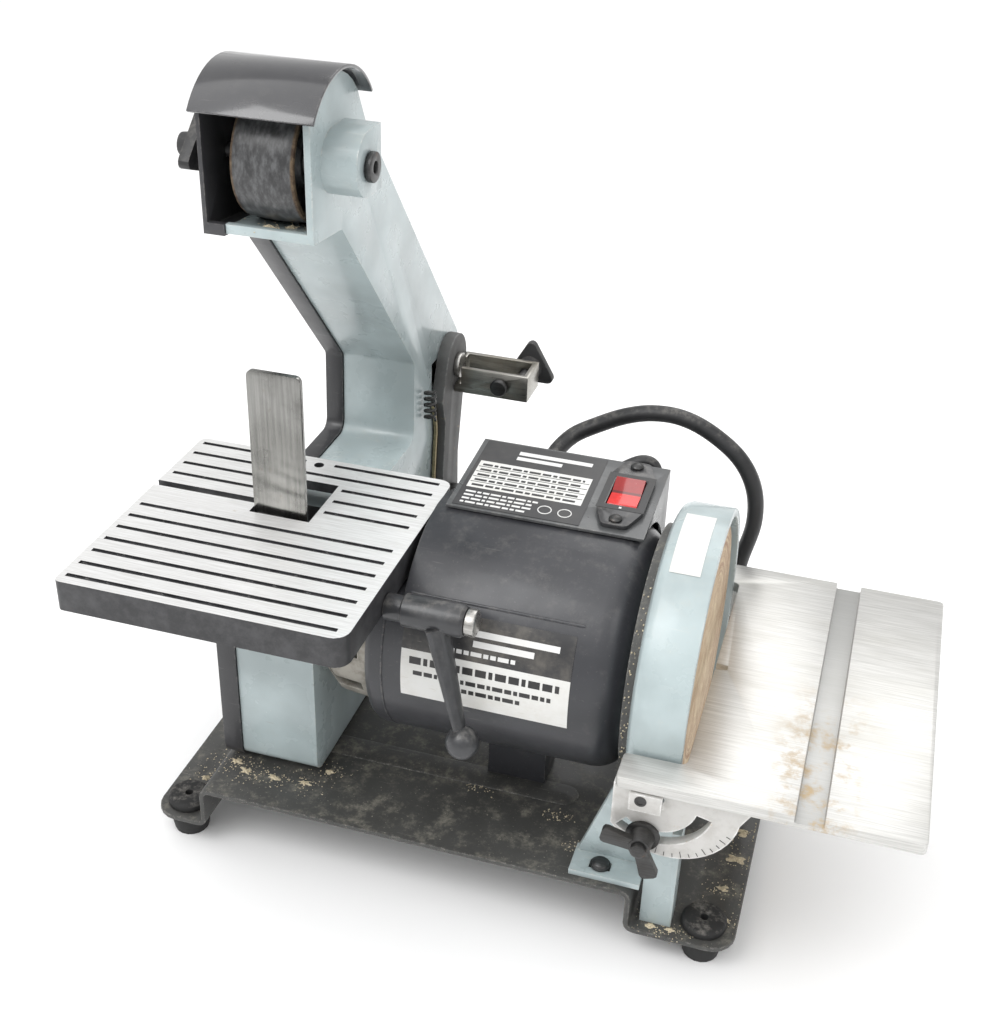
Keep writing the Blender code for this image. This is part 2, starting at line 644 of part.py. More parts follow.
def upper_wheel():
    """Crowned wheel the belt runs over at the top, with its bearing and its axle."""
    half, bore = 14.0, 8.3
    left, right = BELT_X - half, BELT_X + half
    turned("upper_wheel", [
        (bore, left + 3), (11, left + 3), (12, left + 6), (22, left + 6), (23.5, left), (UPPER_R - 1.2, left),
        (UPPER_R - 0.6, left + 3), (UPPER_R, BELT_X), (UPPER_R - 0.6, right - 3), (UPPER_R - 1.2, right),
        (23.5, right), (22, right - 6), (12, right - 6), (11, right - 3), (bore, right - 3)],
        dark_steel(), "x", (0, UPPER_Y, UPPER_Z), 32)
    turned("upper_wheel_bearing", [(5.3, left + 3), (8, left + 3), (8, right - 3), (5.3, right - 3)], steel(), "x",
           (0, UPPER_Y, UPPER_Z), 24)
    boss_end = FRAME_RIGHT + 16
    socket = 2.6
    return turned("upper_axle", [
        (0, COVER_LEFT + 6), (5, COVER_LEFT + 6), (5, boss_end + GAP), (6.5, boss_end + GAP), (6.5, boss_end + 3),
        (socket, boss_end + 3), (socket, boss_end + 0.8), (0, boss_end + 0.8)], dark_steel(), "x",
        (0, UPPER_Y, UPPER_Z), 24)


def drive_wheel():
    """Wheel on the motor shaft that drives the belt."""
    half, bore = 14.0, SHAFT_R + GAP
    left, right = BELT_X - half, BELT_X + half
    return turned("drive_wheel", [
        (bore, left + 1), (12, left + 1), (13, left + 6), (22, left + 6), (23, left), (DRIVE_R - 1, left),
        (DRIVE_R, BELT_X), (DRIVE_R - 1, right), (23, right), (22, right - 6), (13, right - 6), (12, right - 1),
        (bore, right - 1)], aluminium(), steps=28)


def platen():
    """Steel plate behind the belt, with the bracket that holds it to the lower box."""
    low, high = BELT_X - 13.1, BELT_X + 13.1
    outline = rounded([(low, 38, 0), (high, 38, 0), (high, 124, 3), (low, 124, 3)])
    flat("platen", outline, "y", PLATEN_FRONT, 3, steel())
    back = PLATEN_FRONT + 3 + GAP
    section = rounded([(back, 33 + GAP, 0), (12, 33 + GAP, 0), (12, 36.5, 0), (back + 3, 36.5, 2), (back + 3, 46, 0),
                       (back, 46, 0)], 3)
    return flat("platen_bracket", section, "x", BELT_X - 10, 20, dark_steel())


# ---------------------------------------------------------------- tension arm

def tension_arm():
    """Arm that carries the idler and turns on a bolt in the housing's right wall."""
    near = FRAME_RIGHT + GAP
    outline = [(128, -20), (128.6, -3), (132, 29), (126.5, 44)]
    outline += arc((IDLER_Y, IDLER_Z), 17.5, 160, 0, 14)
    outline += [(155.5, 0)] + arc((ARM_PIVOT_Y, ARM_PIVOT_Z), 14, 0, -170, 12)
    hole = circle(ARM_PIVOT_Y, ARM_PIVOT_Z, 4.4)
    axle_hole = circle(IDLER_Y, IDLER_Z, 5.3)
    arm = flat("tension_arm", outline, "x", near, ARM_THICK, finish("grey_casting", (0.2, 0.21, 0.22), 0.5, 0.4),
               (hole, axle_hole))
    return pivot_at(arm, 0, ARM_PIVOT_Y, ARM_PIVOT_Z)


def idler():
    """Idler wheel behind the arm's round end, and its axle."""
    face = FRAME_RIGHT + GAP + ARM_THICK
    turned("idler_axle", [(0, BELT_X - 16), (4, BELT_X - 16), (4, FRAME_RIGHT - 4), (5, FRAME_RIGHT - 4),
                          (5, face + GAP), (7, face + GAP), (7, face + 3.2), (0, face + 3.2)],
           steel(), "x", (0, IDLER_Y, IDLER_Z), 20)
    half = 13.0
    left, right = BELT_X - half, BELT_X + half
    return turned("idler_wheel", [
        (4.3, left), (IDLER_R - 0.6, left), (IDLER_R, BELT_X), (IDLER_R - 0.6, right), (4.3, right)],
        dark_steel(), "x", (0, IDLER_Y, IDLER_Z), 32)


def tracking():
    """U bracket on the arm with its clamp bolt, and the knob that tilts the idler to track the belt."""
    start = FRAME_RIGHT + GAP + ARM_THICK + GAP
    front, rear, end = 148.0, 168.0, -132.0
    low, high = 43.0, 58.0
    slot = box("slot", (-141, front - 1, 47.5), (-136.5, front + 4, 53.5), steel())
    plan = [(start, front - 3), (start, front), (end - 3, front), (end - 3, rear - 3), (start, rear - 3), (start, rear),
            (end, rear), (end, front - 3)]
    bracket = flat("tracking_bracket", plan, "z", low, high - low, steel())
    washer = flat("web", [(front - 3, low), (rear, low), (rear, high), (front - 3, high)], "x", start, 2.5, steel())
    head_way = box("head_way", (start - 1, 143, 47), (start + 4, 160, 67), steel())
    screw_way = rod("screw_way", (TRACKING_X, 150, TRACKING_Z), 25, 3.3, steel(), "y", 16)
    bolt_way = rod("bolt_way", (-148, 140, TRACKING_Z), 12, 2.3, steel(), "y", 16)
    join(bracket, washer)
    cut(bracket, slot, head_way, screw_way, bolt_way)
    turned("tracking_bolt", [(0, 141), (4.2, 141), (5, 142), (5, 145 - GAP), (2, 145 - GAP), (2, 152), (0, 152)],
           dark_steel(), "y", (-148, 0, TRACKING_Z), 16)
    shape = [(TRACKING_X + u, TRACKING_Z + v) for u, v in triangle(18, 3)]
    knob = flat("tracking_knob", shape, "y", 175, 5, black_plastic())
    hub = turned("hub", [(0, 152), (3, 152), (3, rear + GAP), (6.5, rear + GAP), (6.5, 176), (5, 178), (0, 178)],
                 finish("brass", (0.6, 0.5, 0.25), 0.35, 1.0), "y", (TRACKING_X, 0, TRACKING_Z), 20)
    join(knob, hub)
    return pivot_at(knob, TRACKING_X, 170, TRACKING_Z)


def arm_fixings():
    """Pivot bolt of the tension arm, and the spring in front of the arm."""
    face = FRAME_RIGHT + GAP + ARM_THICK
    turned("arm_pivot_bolt", [
        (0, FRAME_RIGHT - 8), (6.5, FRAME_RIGHT - 8), (6.5, FRAME_RIGHT - FRAME_WALL - GAP),
        (4, FRAME_RIGHT - FRAME_WALL - GAP), (4, face + GAP), (7, face + GAP), (7, face + 5), (0, face + 5)],
        dark_steel(), "x", (0, ARM_PIVOT_Y, ARM_PIVOT_Z), 20)
    turns, radius, low, high, sides = 5, 3.1, 40.0, 58.0, 8
    steps = turns * sides
    points = [(FRAME_RIGHT + 4.6 + radius * math.cos(math.tau * i / sides),
               112.5 + radius * math.sin(math.tau * i / sides), low + (high - low) * i / steps)
              for i in range(steps + 1)]
    return tube("tension_spring", points, 0.7, dark_steel(), 1)


# ---------------------------------------------------------------- belt table

def table_plan(inset):
    """Outline of the belt table, moved inwards."""
    left, right = TABLE_LEFT + inset, TABLE_RIGHT - inset
    front, rear = TABLE_FRONT + inset, TABLE_REAR - inset
    return rounded([(left, front, 3), (right, front, 7), (right, rear, 6), (left, rear, 4)])


def belt_table():
    """Cast table with a grooved top, an opening round the platen and belt, and tilt lugs below."""
    low = TABLE_TOP - TABLE_DEPTH
    table = flat("belt_table", table_plan(0), "z", low, TABLE_DEPTH, aluminium())
    skirt, plate = 4.0, 5.0
    hollow = flat("hollow", table_plan(skirt), "z", low - 1, TABLE_DEPTH - plate + 1, aluminium())
    opening = box("opening", (-217.5, -27.5, 30), (-187.5, 8.5, 60), aluminium())
    slit = box("slit", (TABLE_LEFT - 1, -19.6, 30), (-217, -15.2, 60), aluminium())
    screw_hole = rod("screw_hole", (-204.5, 24.4, 40), 20, 2.5, aluminium(), "z", 12)
    cut(table, hollow)
    for left, right in ((-222.0, -213.0), (-183.0, -176.0)):
        lug = flat("lug", arc((TILT_Y, TILT_Z), 7.5, 180, 360, 10)
                   + [(TILT_Y + 7.5, TABLE_TOP - 4), (TILT_Y - 7.5, TABLE_TOP - 4)], "x", left, right - left, aluminium())
        join(table, lug)
    stud_way = rod("stud_way", (-230, TILT_Y, TILT_Z), 110, 4.4, aluminium())
    cut(table, opening, slit, screw_hole, stud_way)
    half = GROOVE_WIDTH / 2
    for i in range(GROOVE_COUNT):
        y = GROOVE_FIRST_Y + GROOVE_PITCH * i
        for left, right in groove_runs(y) if i != PLAIN_ROW else []:
            cut(table, box("groove", (left, y - half, TABLE_TOP - 1), (right, y + half, TABLE_TOP + 1), aluminium()))
    return pivot_at(table, 0, TILT_Y, TILT_Z)


def groove_runs(y):
    """Left and right ends of the grooves in one row, which stop at the opening and the slit."""
    left, right = TABLE_LEFT + 3, TABLE_RIGHT - 5.5
    if -33 < y < 11:
        beside_opening = [(-184.5, right)]
        return beside_opening if -23 < y < -12 else [(left, -222.0)] + beside_opening
    return [(left, right)] if y < 18 else [(left, -212), (-197, right)]


def table_bracket():
    """Bracket on the lower box's front that holds the table's pivot."""
    back = -42 - GAP
    outline = [(back, -8), (back, 26), (TILT_Y + 5.3, TILT_Z + 5.3)]
    outline += arc((TILT_Y, TILT_Z), 7.5, 45, 215, 12) + [(back - 6, -8)]
    hole = circle(TILT_Y, TILT_Z, 4.3, 20)
    bracket = flat("table_bracket", outline, "x", -212.4, 28.8, dark_steel(), (hole,))
    turned("pivot_stud", [(0, -230), (6.5, -230), (6.5, -222 - GAP), (4, -222 - GAP), (4, -100 + GAP),
                          (6.2, -100 + GAP), (6.2, -95.5), (4, -94.5), (0, -94.5)],
           steel(), "x", (0, TILT_Y, TILT_Z), 20)
    return bracket


def lock_lever():
    """Cranked lever on the pivot stud that locks the table's tilt, with a ball at its end."""
    hub = turned("lock_lever", [(4.3, -136.5), (6, -136.5), (6, -129), (7.5, -128), (7.5, -101.5), (6.5, -100),
                                (4.3, -100)], black_plastic(), "x", (0, TILT_Y, TILT_Z), 20)
    top = world(-112, TILT_Y - 4, TILT_Z - 3)
    ball = world(-97, -73, -17)
    arm = bpy.data.meshes.new("arm")
    bm = bmesh.new()
    bmesh.ops.create_cone(bm, cap_ends=True, segments=12, radius1=3.2 * MM, radius2=6.3 * MM,
                          depth=(ball - top).length)
    bmesh.ops.scale(bm, vec=(1.0, 0.62, 1.0), verts=bm.verts)
    bm.to_mesh(arm)
    bm.free()
    stem = put("stem", arm, black_plastic())
    stem.rotation_mode = "QUATERNION"
    stem.rotation_quaternion = (top - ball).to_track_quat("Z", "Y")
    stem.location = (top + ball) / 2
    knob = bmesh.new()
    bmesh.ops.create_uvsphere(knob, u_segments=16, v_segments=9, radius=7.8 * MM)
    end = put("ball", closed_mesh("ball", knob), black_plastic())
    end.location = ball
    join(hub, stem, end)
    way = rod("stud_bore", (-140, TILT_Y, TILT_Z), 50, 4.3, black_plastic(), steps=20)
    return pivot_at(cut(hub, way), 0, TILT_Y, TILT_Z)


# ---------------------------------------------------------------- disc side

def disc_guard():
    """Blue-grey pan round the disc, with a ring behind it that meets the motor."""
    back = -GUARD_DEPTH
    return turned("disc_guard", [
        (16, back), (16, back + 2.5), (GUARD_INNER_R - 4, back + 2.5), (GUARD_INNER_R - 1, back + 3.7),
        (GUARD_INNER_R, back + 6.5), (GUARD_INNER_R, 0), (GUARD_R, 0), (GUARD_R, back + 5), (GUARD_R - 1.5, back + 1.5),
        (GUARD_R - 5, back), (26, back), (26, MOTOR_RIGHT + GAP), (20, MOTOR_RIGHT + GAP), (20, back)][::-1],
        blue_grey_paint(), steps=52)


def sanding_disc():
    """Cast disc plate on the shaft and the abrasive disc on its face."""
    bore = SHAFT_R + GAP
    turned("disc_plate", [(0, -11.5), (bore, -11.5), (bore, -20), (14, -20), (15, -12), (DISC_R, -11),
                          (DISC_R, -4.3), (0, -4.3)], aluminium(), steps=48)
    return turned("abrasive_disc", [(0, -4), (DISC_R, -4), (DISC_R, -2.6), (0, -2.6)],
                  finish("worn_abrasive", (0.42, 0.25, 0.14), 0.9), steps=48)


def side_pin(name, x, z, profile, side, paint):
    """Turned pin pointing away from the machine's middle, as (radius, distance from the middle) pairs."""
    return turned(name, [(0, side * profile[0][1])] + [(r, side * y) for r, y in profile]
                  + [(0, side * profile[-1][1])], paint, "y", (x, 0, z), 16)


def disc_stand(name, side):
    """Stand of the disc guard on one side: slanted plate, screw foot and leg down to the flange.

    side is -1 at the front and 1 at the rear.
    """
    lean = math.atan2(24.5, 70)
    paint = blue_grey_paint()
    foot_z = TOP_PLATE_Z + GAP
    low, high = foot_z + 1.5, -14.0
    reach = (high - low) / math.cos(lean)
    panel = flat("panel", rounded([(-46, 0, 0), (-13.5, 0, 0), (-1, 30, 4), (-1, reach, 2), (-25, reach, 2)], 3), "y",
                 -1.5, 3.0, paint)
    bpy.context.view_layer.update()
    panel.data.transform(Matrix.Translation(panel.location - world(0, 0, 0)))
    panel.location = world(0, side * 50, low)
    panel.rotation_euler.x = -side * lean
    middle = side * STAND_SCREW_Y
    slot = [(-38, middle - 2.6), (-28, middle - 2.6), (-28, middle + 2.6), (-38, middle + 2.6)]
    foot = flat(name, [(-46.5, side * 48), (-13, side * 48), (-13, side * 66), (-46.5, side * 66)], "z", foot_z, 3.0,
                paint, (slot,))
    angle = [(-11.8, side * 62.5), (3, side * 62.5), (3, side * 50), (0.5, side * 50), (0.5, side * 59.5),
             (-11.8, side * 59.5)]
    leg = flat("leg", angle, "z", FLANGE_Z + GAP, -52 - FLANGE_Z - GAP, paint)
    pivot = side_pin("pivot", TRUNNION_X, TRUNNION_Z, [(4, 73), (4, 81.7), (3, 81.7), (3, 88.5)], side, paint)
    stud_end = 99 if side < 0 else 90
    lock = side_pin("lock", LOCK_X, LOCK_Z, [(5, 67.5), (5, 81.7), (2.6, 81.7), (2.6, stud_end)], side, paint)
    return join(foot, panel, leg, pivot, lock)


def stand_screws():
    """Washer-head screws that hold the two stands to the base."""
    for name, side in (("front_stand_screw", -1), ("rear_stand_screw", 1)):
        under = TOP_PLATE_Z + GAP
        turned(name, [(0, under + 6.2), (2.5, under + 6), (3.8, under + 5.4), (4.1, under + 4.3), (4.8, under + 4.3),
                      (4.8, under + 3.3), (2.3, under + 3.3), (2.3, under + 0.2), (0, under + 0.2)],
               steel(), "z", (-33, side * STAND_SCREW_Y, 0), 20)


def disc_table():
    """Cast aluminium table beside the disc, with a mitre slot and a trunnion under each end."""
    half, cutout = DISC_TABLE_HALF, DISC_CUTOUT_HALF
    left, right, inner = DISC_TABLE_LEFT, DISC_TABLE_RIGHT, DISC_CUTOUT_X
    plan = rounded([(left, -half, 2), (right, -half, 2.5), (right, half, 2.5), (left, half, 2), (left, cutout, 2),
                    (inner, cutout, 3), (inner, 2.5, 0), (8, 1.6, 0), (8, -1.6, 0), (inner, -2.5, 0),
                    (inner, -cutout, 3), (left, -cutout, 2)], 3)
    low = DISC_TABLE_TOP - DISC_TABLE_THICK
    table = flat("disc_table", plan, "z", low, DISC_TABLE_THICK, aluminium())
    slot = box("mitre_slot", (50, -half - 1, DISC_TABLE_TOP - 3.2), (61.8, half + 1, DISC_TABLE_TOP + 2), aluminium())
    cut(table, slot)
    for name, side in (("front_trunnion", -1), ("rear_trunnion", 1)):
        trunnion(name, side, low - GAP)
    return pivot_at(table, TRUNNION_X, 0, TRUNNION_Z)


def trunnion(name, side, top):
    """Quadrant under one end of the disc table, with a pivot bore and an arc slot for the lock stud."""
    near, far = sorted((side * 82, side * 87))
    quadrant = [(34, top), (-25.5, top)] + arc((-1, -13), 30, 215, 352, 18)
    width = 3.3
    first, last = -131, -14
    slot = arc((TRUNNION_X, TRUNNION_Z), TRUNNION_SLOT_R + width, first, last, 16)
    slot += arc((TRUNNION_X, TRUNNION_Z), TRUNNION_SLOT_R - width, last, first, 16)
    plate = flat(name, quadrant, "y", near, far - near, aluminium(), (slot,))
    boss_y = sorted((side * 86, side * 91))
    block = box("block", (-18, boss_y[0], -17.5), (-4, boss_y[1], top - 0.5), aluminium())
    bore = rod("bore", (TRUNNION_X, min(boss_y[0], near) - 3, TRUNNION_Z), 9, 3.3, aluminium(), "y", 16)
    bore.location.y = world(0, side * 84.5, 0).y
    join(plate, block)
    cut(plate, bore)
    return pivot_at(plate, TRUNNION_X, 0, TRUNNION_Z)


def wing_nut():
    """Wing nut on the lock stud in front of the front trunnion."""
    face = -87 - GAP
    nut = turned("wing_nut", [(2.9, face), (7.5, face), (7.5, face - 1.5), (5.5, face - 1.5), (4.6, face - 9),
                              (2.9, face - 9)][::-1], dark_steel(), "y", (LOCK_X, 0, LOCK_Z), 24)
    for angle in (170, 290):
        wing = flat("wing", rounded([(3.2, -3, 0), (9, -3.4, 1), (17, -4.2, 2), (17, 4.2, 2), (9, 3.4, 1), (3.2, 3, 0)],
                                    2), "y", face - 8.5, 3.0, dark_steel())
        bpy.context.view_layer.update()
        wing.data.transform(Matrix.Translation(wing.location - world(0, 0, 0)))
        wing.location = world(LOCK_X, 0, LOCK_Z)
        wing.rotation_euler.y = -math.radians(angle)
        join(nut, wing)
    return pivot_at(nut, LOCK_X, -88, LOCK_Z)


# ---------------------------------------------------------------- cord

def cord():
    """Free cord from the strain relief down to the floor, its coil, the tie round the coil and the plug."""
    tube("cord", through_points(CORD_ROUTE, 46), CORD_R, rubber())
    inner, outer = COIL_MEAN_R - COIL_HALF_WIDTH, COIL_MEAN_R + COIL_HALF_WIDTH
    top = FLOOR_Z + COIL_HEIGHT
    turned("cord_coil", [(inner, FLOOR_Z), (outer, FLOOR_Z), (outer, top), (inner, top)],
           rubber(), "z", (COIL_X, COIL_Y, 0), 40)
    wrap, low = 1.2, FLOOR_Z + 0.2
    near = COIL_Y + inner - 1.0
    far = COIL_Y + outer + GAP
    section = [(near - wrap, low), (near, low), (near, top + GAP), (far, top + GAP), (far, low), (far + wrap, low),
               (far + wrap, top + GAP + wrap), (near - wrap, top + GAP + wrap)]
    flat("cord_tie", section, "x", COIL_X - 4, 8, black_plastic())
    return plug()


def plug():
    """Moulded plug lying beside the coil where the cord's last turn leaves it, with three pins."""
    x, tail, z = COIL_X - COIL_MEAN_R - CORD_R, COIL_Y - 33.0, FLOOR_Z + 13.2
    body = turned("power_plug", [(0, tail - 52), (11, tail - 52), (13, tail - 50), (13, tail - 34), (10, tail - 22),
                                 (6, tail - 10), (5.4, tail), (0, tail)][::-1], rubber(), "y", (x, 0, z), 24)
    near, far = tail - 68, tail - 48
    blades = [box("blade", (x - 7.1, near, z - 3), (x - 5.6, far, z + 3), steel()),
              box("blade", (x + 5.6, near, z - 3), (x + 7.1, far, z + 3), steel()),
              rod("earth", (x, near - 2, z + 7.5), 22, 2.3, steel(), "y", 12)]
    return join(body, *blades)


def main():
    clear_scene()
    base_plate()
    feet()
    motor_housing()
    motor_end_bell()
    motor_end_plate()
    motor_foot()
    motor_inside()
    control_box()
    switch_bezel()
    bezel_screws()
    rocker()
    strain_relief()
    belt_frame()
    side_cover()
    cover_knobs()
    wheel_hood()
    upper_wheel()
    drive_wheel()
    platen()
    tension_arm()
    idler()
    tracking()
    arm_fixings()
    belt_table()
    table_bracket()
    lock_lever()
    disc_guard()
    sanding_disc()
    disc_stand("disc_stand", -1)
    disc_stand("rear_disc_stand", 1)
    stand_screws()
    disc_table()
    wing_nut()
    cord()


main()
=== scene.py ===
"""Looks of the bench sander: finishes for its CAD nodes, and its cord, labels, seams and sawdust.

Places are in millimetres from the point where the motor shaft's axis meets the plane of the disc
guard's rim, with +X along the shaft towards the disc, -Y towards the operator and +Z up.
"""
from __future__ import annotations

import json
import logging
import math
from dataclasses import dataclass, field
from enum import Enum
from random import Random
from typing import Any, Callable, Sequence, Union

import bmesh
import bpy
from mathutils import Matrix, Vector, noise

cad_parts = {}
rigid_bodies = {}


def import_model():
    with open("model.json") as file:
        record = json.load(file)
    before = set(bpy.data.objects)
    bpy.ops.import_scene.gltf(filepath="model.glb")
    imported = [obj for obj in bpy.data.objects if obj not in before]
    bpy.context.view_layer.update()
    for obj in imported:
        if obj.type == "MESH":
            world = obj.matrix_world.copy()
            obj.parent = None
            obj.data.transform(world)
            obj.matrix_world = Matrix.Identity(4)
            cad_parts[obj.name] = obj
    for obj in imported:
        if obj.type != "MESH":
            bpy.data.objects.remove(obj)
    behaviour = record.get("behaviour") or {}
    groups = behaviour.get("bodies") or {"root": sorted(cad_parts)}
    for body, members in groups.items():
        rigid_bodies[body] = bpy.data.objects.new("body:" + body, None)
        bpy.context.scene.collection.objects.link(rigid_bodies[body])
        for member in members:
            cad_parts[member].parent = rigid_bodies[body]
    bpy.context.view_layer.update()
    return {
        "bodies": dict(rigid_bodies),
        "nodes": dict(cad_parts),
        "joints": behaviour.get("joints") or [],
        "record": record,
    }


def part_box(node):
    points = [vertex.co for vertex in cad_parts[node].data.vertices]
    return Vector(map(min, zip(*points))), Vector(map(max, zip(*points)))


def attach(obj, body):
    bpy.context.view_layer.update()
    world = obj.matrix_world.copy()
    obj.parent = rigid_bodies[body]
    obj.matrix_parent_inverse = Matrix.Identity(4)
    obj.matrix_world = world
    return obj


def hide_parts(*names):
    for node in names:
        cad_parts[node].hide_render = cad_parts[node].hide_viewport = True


log = logging.getLogger("bench_sander")

MM = 0.001
Colour = tuple[float, float, float]
Place = tuple[float, float, float]
Flat = tuple[float, float]
Patch = tuple[float, ...]
Surface = Callable[[float, float], Vector]

FILM_THICKNESS = 0.12
SHARP_OVER = 32.0


# ------------------------------------------------------------------ shader graph

@dataclass
class Wire:
    """One output of a shader node, with arithmetic that adds Math nodes."""

    graph: "Graph"
    socket: bpy.types.NodeSocket

    def _math(self, operation: str, *values: "Number") -> "Wire":
        """Return the result of a Math node on these values."""
        return self.graph.add("ShaderNodeMath", {"operation": operation}, dict(enumerate(values))).out(0)

    def __add__(self, other: "Number") -> "Wire":
        """Return self + other."""
        return self._math("ADD", self, other)

    def __radd__(self, other: "Number") -> "Wire":
        """Return other + self."""
        return self._math("ADD", other, self)

    def __sub__(self, other: "Number") -> "Wire":
        """Return self - other."""
        return self._math("SUBTRACT", self, other)

    def __rsub__(self, other: "Number") -> "Wire":
        """Return other - self."""
        return self._math("SUBTRACT", other, self)

    def __mul__(self, other: "Number") -> "Wire":
        """Return self * other."""
        return self._math("MULTIPLY", self, other)

    def __rmul__(self, other: "Number") -> "Wire":
        """Return other * self."""
        return self._math("MULTIPLY", other, self)

    def __truediv__(self, other: "Number") -> "Wire":
        """Return self / other."""
        return self._math("DIVIDE", self, other)

    def unsigned(self) -> "Wire":
        """Return self without its sign."""
        return self._math("ABSOLUTE", self)

    def at_most(self, other: "Number") -> "Wire":
        """Return the smaller of self and other."""
        return self._math("MINIMUM", self, other)

    def at_least(self, other: "Number") -> "Wire":
        """Return the larger of self and other."""
        return self._math("MAXIMUM", self, other)

    def ramp(self, low: float, high: float) -> "Wire":
        """Return a smooth step of self.

        Args:
            low: the value at which the step is 0.
            high: the value at which it is 1, which may be the lower number.

        Returns:
            The step.
        """
        limits = {"From Min": min(low, high), "From Max": max(low, high)}
        if high >= low:
            limits.update({"To Min": 0.0, "To Max": 1.0})
        else:
            limits.update({"To Min": 1.0, "To Max": 0.0})
        return self.graph.add("ShaderNodeMapRange", {"interpolation_type": "SMOOTHSTEP"},
                              {"Value": self, **limits}).out(0)


Number = Union[Wire, float]


@dataclass
class Node:
    """A shader node, whose outputs are read as wires."""

    graph: "Graph"
    node: bpy.types.Node

    def out(self, key: Union[int, str]) -> Wire:
        """Return one output of the node."""
        return Wire(self.graph, self.node.outputs[key])


@dataclass
class Graph:
    """The node tree of one material, and the shapes that its finish is made of."""

    name: str
    material: bpy.types.Material = field(init=False)
    shader: bpy.types.Node = field(init=False)

    def __post_init__(self) -> None:
        """Make the material with a bare Principled shader."""
        self.material = bpy.data.materials.new(self.name)
        self.material.use_nodes = True
        self.shader = self.material.node_tree.nodes["Principled BSDF"]

    def add(self, kind: str, settings: dict[str, Any], values: dict[Union[int, str], Any]) -> Node:
        """Add any node.

        Args:
            kind: the node's type.
            settings: its own settings, set first.
            values: a number, a colour or a wire for each socket, by name or place.

        Returns:
            The node.
        """
        node = self.material.node_tree.nodes.new(kind)
        for key, value in settings.items():
            setattr(node, key, value)
        for key, value in values.items():
            self.feed(node.inputs[key], value)
        return Node(self, node)

    def feed(self, socket: bpy.types.NodeSocket, value: Any) -> None:
        """Link a wire to a socket, or set the socket's own value.

        Args:
            socket: the socket.
            value: a wire, or a value of the socket's type.
        """
        if isinstance(value, Wire):
            self.material.node_tree.links.new(value.socket, socket)
        else:
            socket.default_value = value

    def where(self) -> Wire:
        """Return the place on the piece at rest, in metres."""
        return self.add("ShaderNodeTexCoord", {}, {}).out("Object")

    def axis(self, name: str) -> Wire:
        """Return one coordinate of the place at rest, X, Y or Z, in metres."""
        return self.add("ShaderNodeSeparateXYZ", {}, {0: self.where()}).out(name)

    def facing(self, name: str) -> Wire:
        """Return how far the surface faces along the piece's own X, Y or Z."""
        normal = self.add("ShaderNodeTexCoord", {}, {}).out("Normal")
        return self.add("ShaderNodeSeparateXYZ", {}, {0: normal}).out(name)

    def stretched(self, scale: Place) -> Wire:
        """Return the place with each coordinate multiplied, for grain that runs one way."""
        return self.vector("MULTIPLY", self.where(), scale).out(0)

    def vector(self, operation: str, *values: Any) -> Node:
        """Return a Vector Math node on these values."""
        return self.add("ShaderNodeVectorMath", {"operation": operation}, dict(enumerate(values)))

    def noise(self, size_mm: float, detail: float = 3.0, roughness: float = 0.55,
              at: Wire | None = None) -> Wire:
        """Return noise that varies from 0 to 1 about one half.

        Args:
            size_mm: about how wide its lumps are.
            detail: how many finer layers it has.
            roughness: how strong the finer layers are.
            at: the place that it is taken at, by default the place on the piece at rest.

        Returns:
            The noise.
        """
        values = {"Vector": at or self.where(), "Scale": 1.0 / (size_mm * MM), "Detail": detail,
                  "Roughness": roughness}
        return self.add("ShaderNodeTexNoise", {}, values).out(0)

    def mix(self, share: Number, first: Any, second: Any) -> Wire:
        """Return a colour between two colours.

        Args:
            share: how much of the second colour there is, from 0 to 1.
            first: the first colour, or a wire of it.
            second: the second colour, or a wire of it.

        Returns:
            The mixed colour.
        """
        node = self.material.node_tree.nodes.new("ShaderNodeMix")
        node.data_type = "RGBA"
        for socket, value in ((node.inputs[0], share), (node.inputs[6], first), (node.inputs[7], second)):
            self.feed(socket, (*value, 1.0) if isinstance(value, tuple) else value)
        return Wire(self, node.outputs[2])

    def edge(self, radius_mm: float) -> Wire:
        """Return how near the surface is to a sharp edge.

        Args:
            radius_mm: how far from the edge the effect reaches.

        Returns:
            0 away from edges, up to about 1 on them.
        """
        soft = self.add("ShaderNodeBevel", {"samples": 4}, {"Radius": radius_mm * MM}).out(0)
        hard = self.add("ShaderNodeNewGeometry", {}, {}).out("Normal")
        same = self.vector("DOT_PRODUCT", soft, hard).out("Value")
        return (1.0 - same).ramp(0.004, 0.09)

    def bump(self, height: Wire, depth_mm: float, strength: float = 1.0) -> Wire:
        """Return a normal raised by a height of depth_mm at most."""
        return self.add("ShaderNodeBump", {}, {"Height": height, "Distance": depth_mm * MM,
                                               "Strength": strength}).out(0)

    def finish(self, **values: Any) -> bpy.types.Material:
        """Set the Principled shader's sockets.

        Args:
            values: a number, a colour or a wire for each socket, named with _ for a space.

        Returns:
            The finished material.
        """
        for key, value in values.items():
            name = key.replace("_", " ")
            self.feed(self.shader.inputs[name], (*value, 1.0) if isinstance(value, tuple) else value)
        return self.material


# ------------------------------------------------------------------ finishes

class Slot(Enum):
    """Material slots of the record."""

    BLACK_PAINT = "black_paint"
    BLUE_GREY = "blue_grey_paint"
    ALUMINIUM = "cast_aluminium"
    BRIGHT_STEEL = "bright_steel"
    DARK_STEEL = "dark_steel"
    CASTING = "grey_casting"
    BLACK_PLASTIC = "black_plastic"
    RED_PLASTIC = "red_plastic"
    RUBBER = "rubber"
    ABRASIVE = "worn_abrasive"


SAWDUST: Colour = (0.50, 0.36, 0.19)
GREY_DUST: Colour = (0.34, 0.32, 0.29)


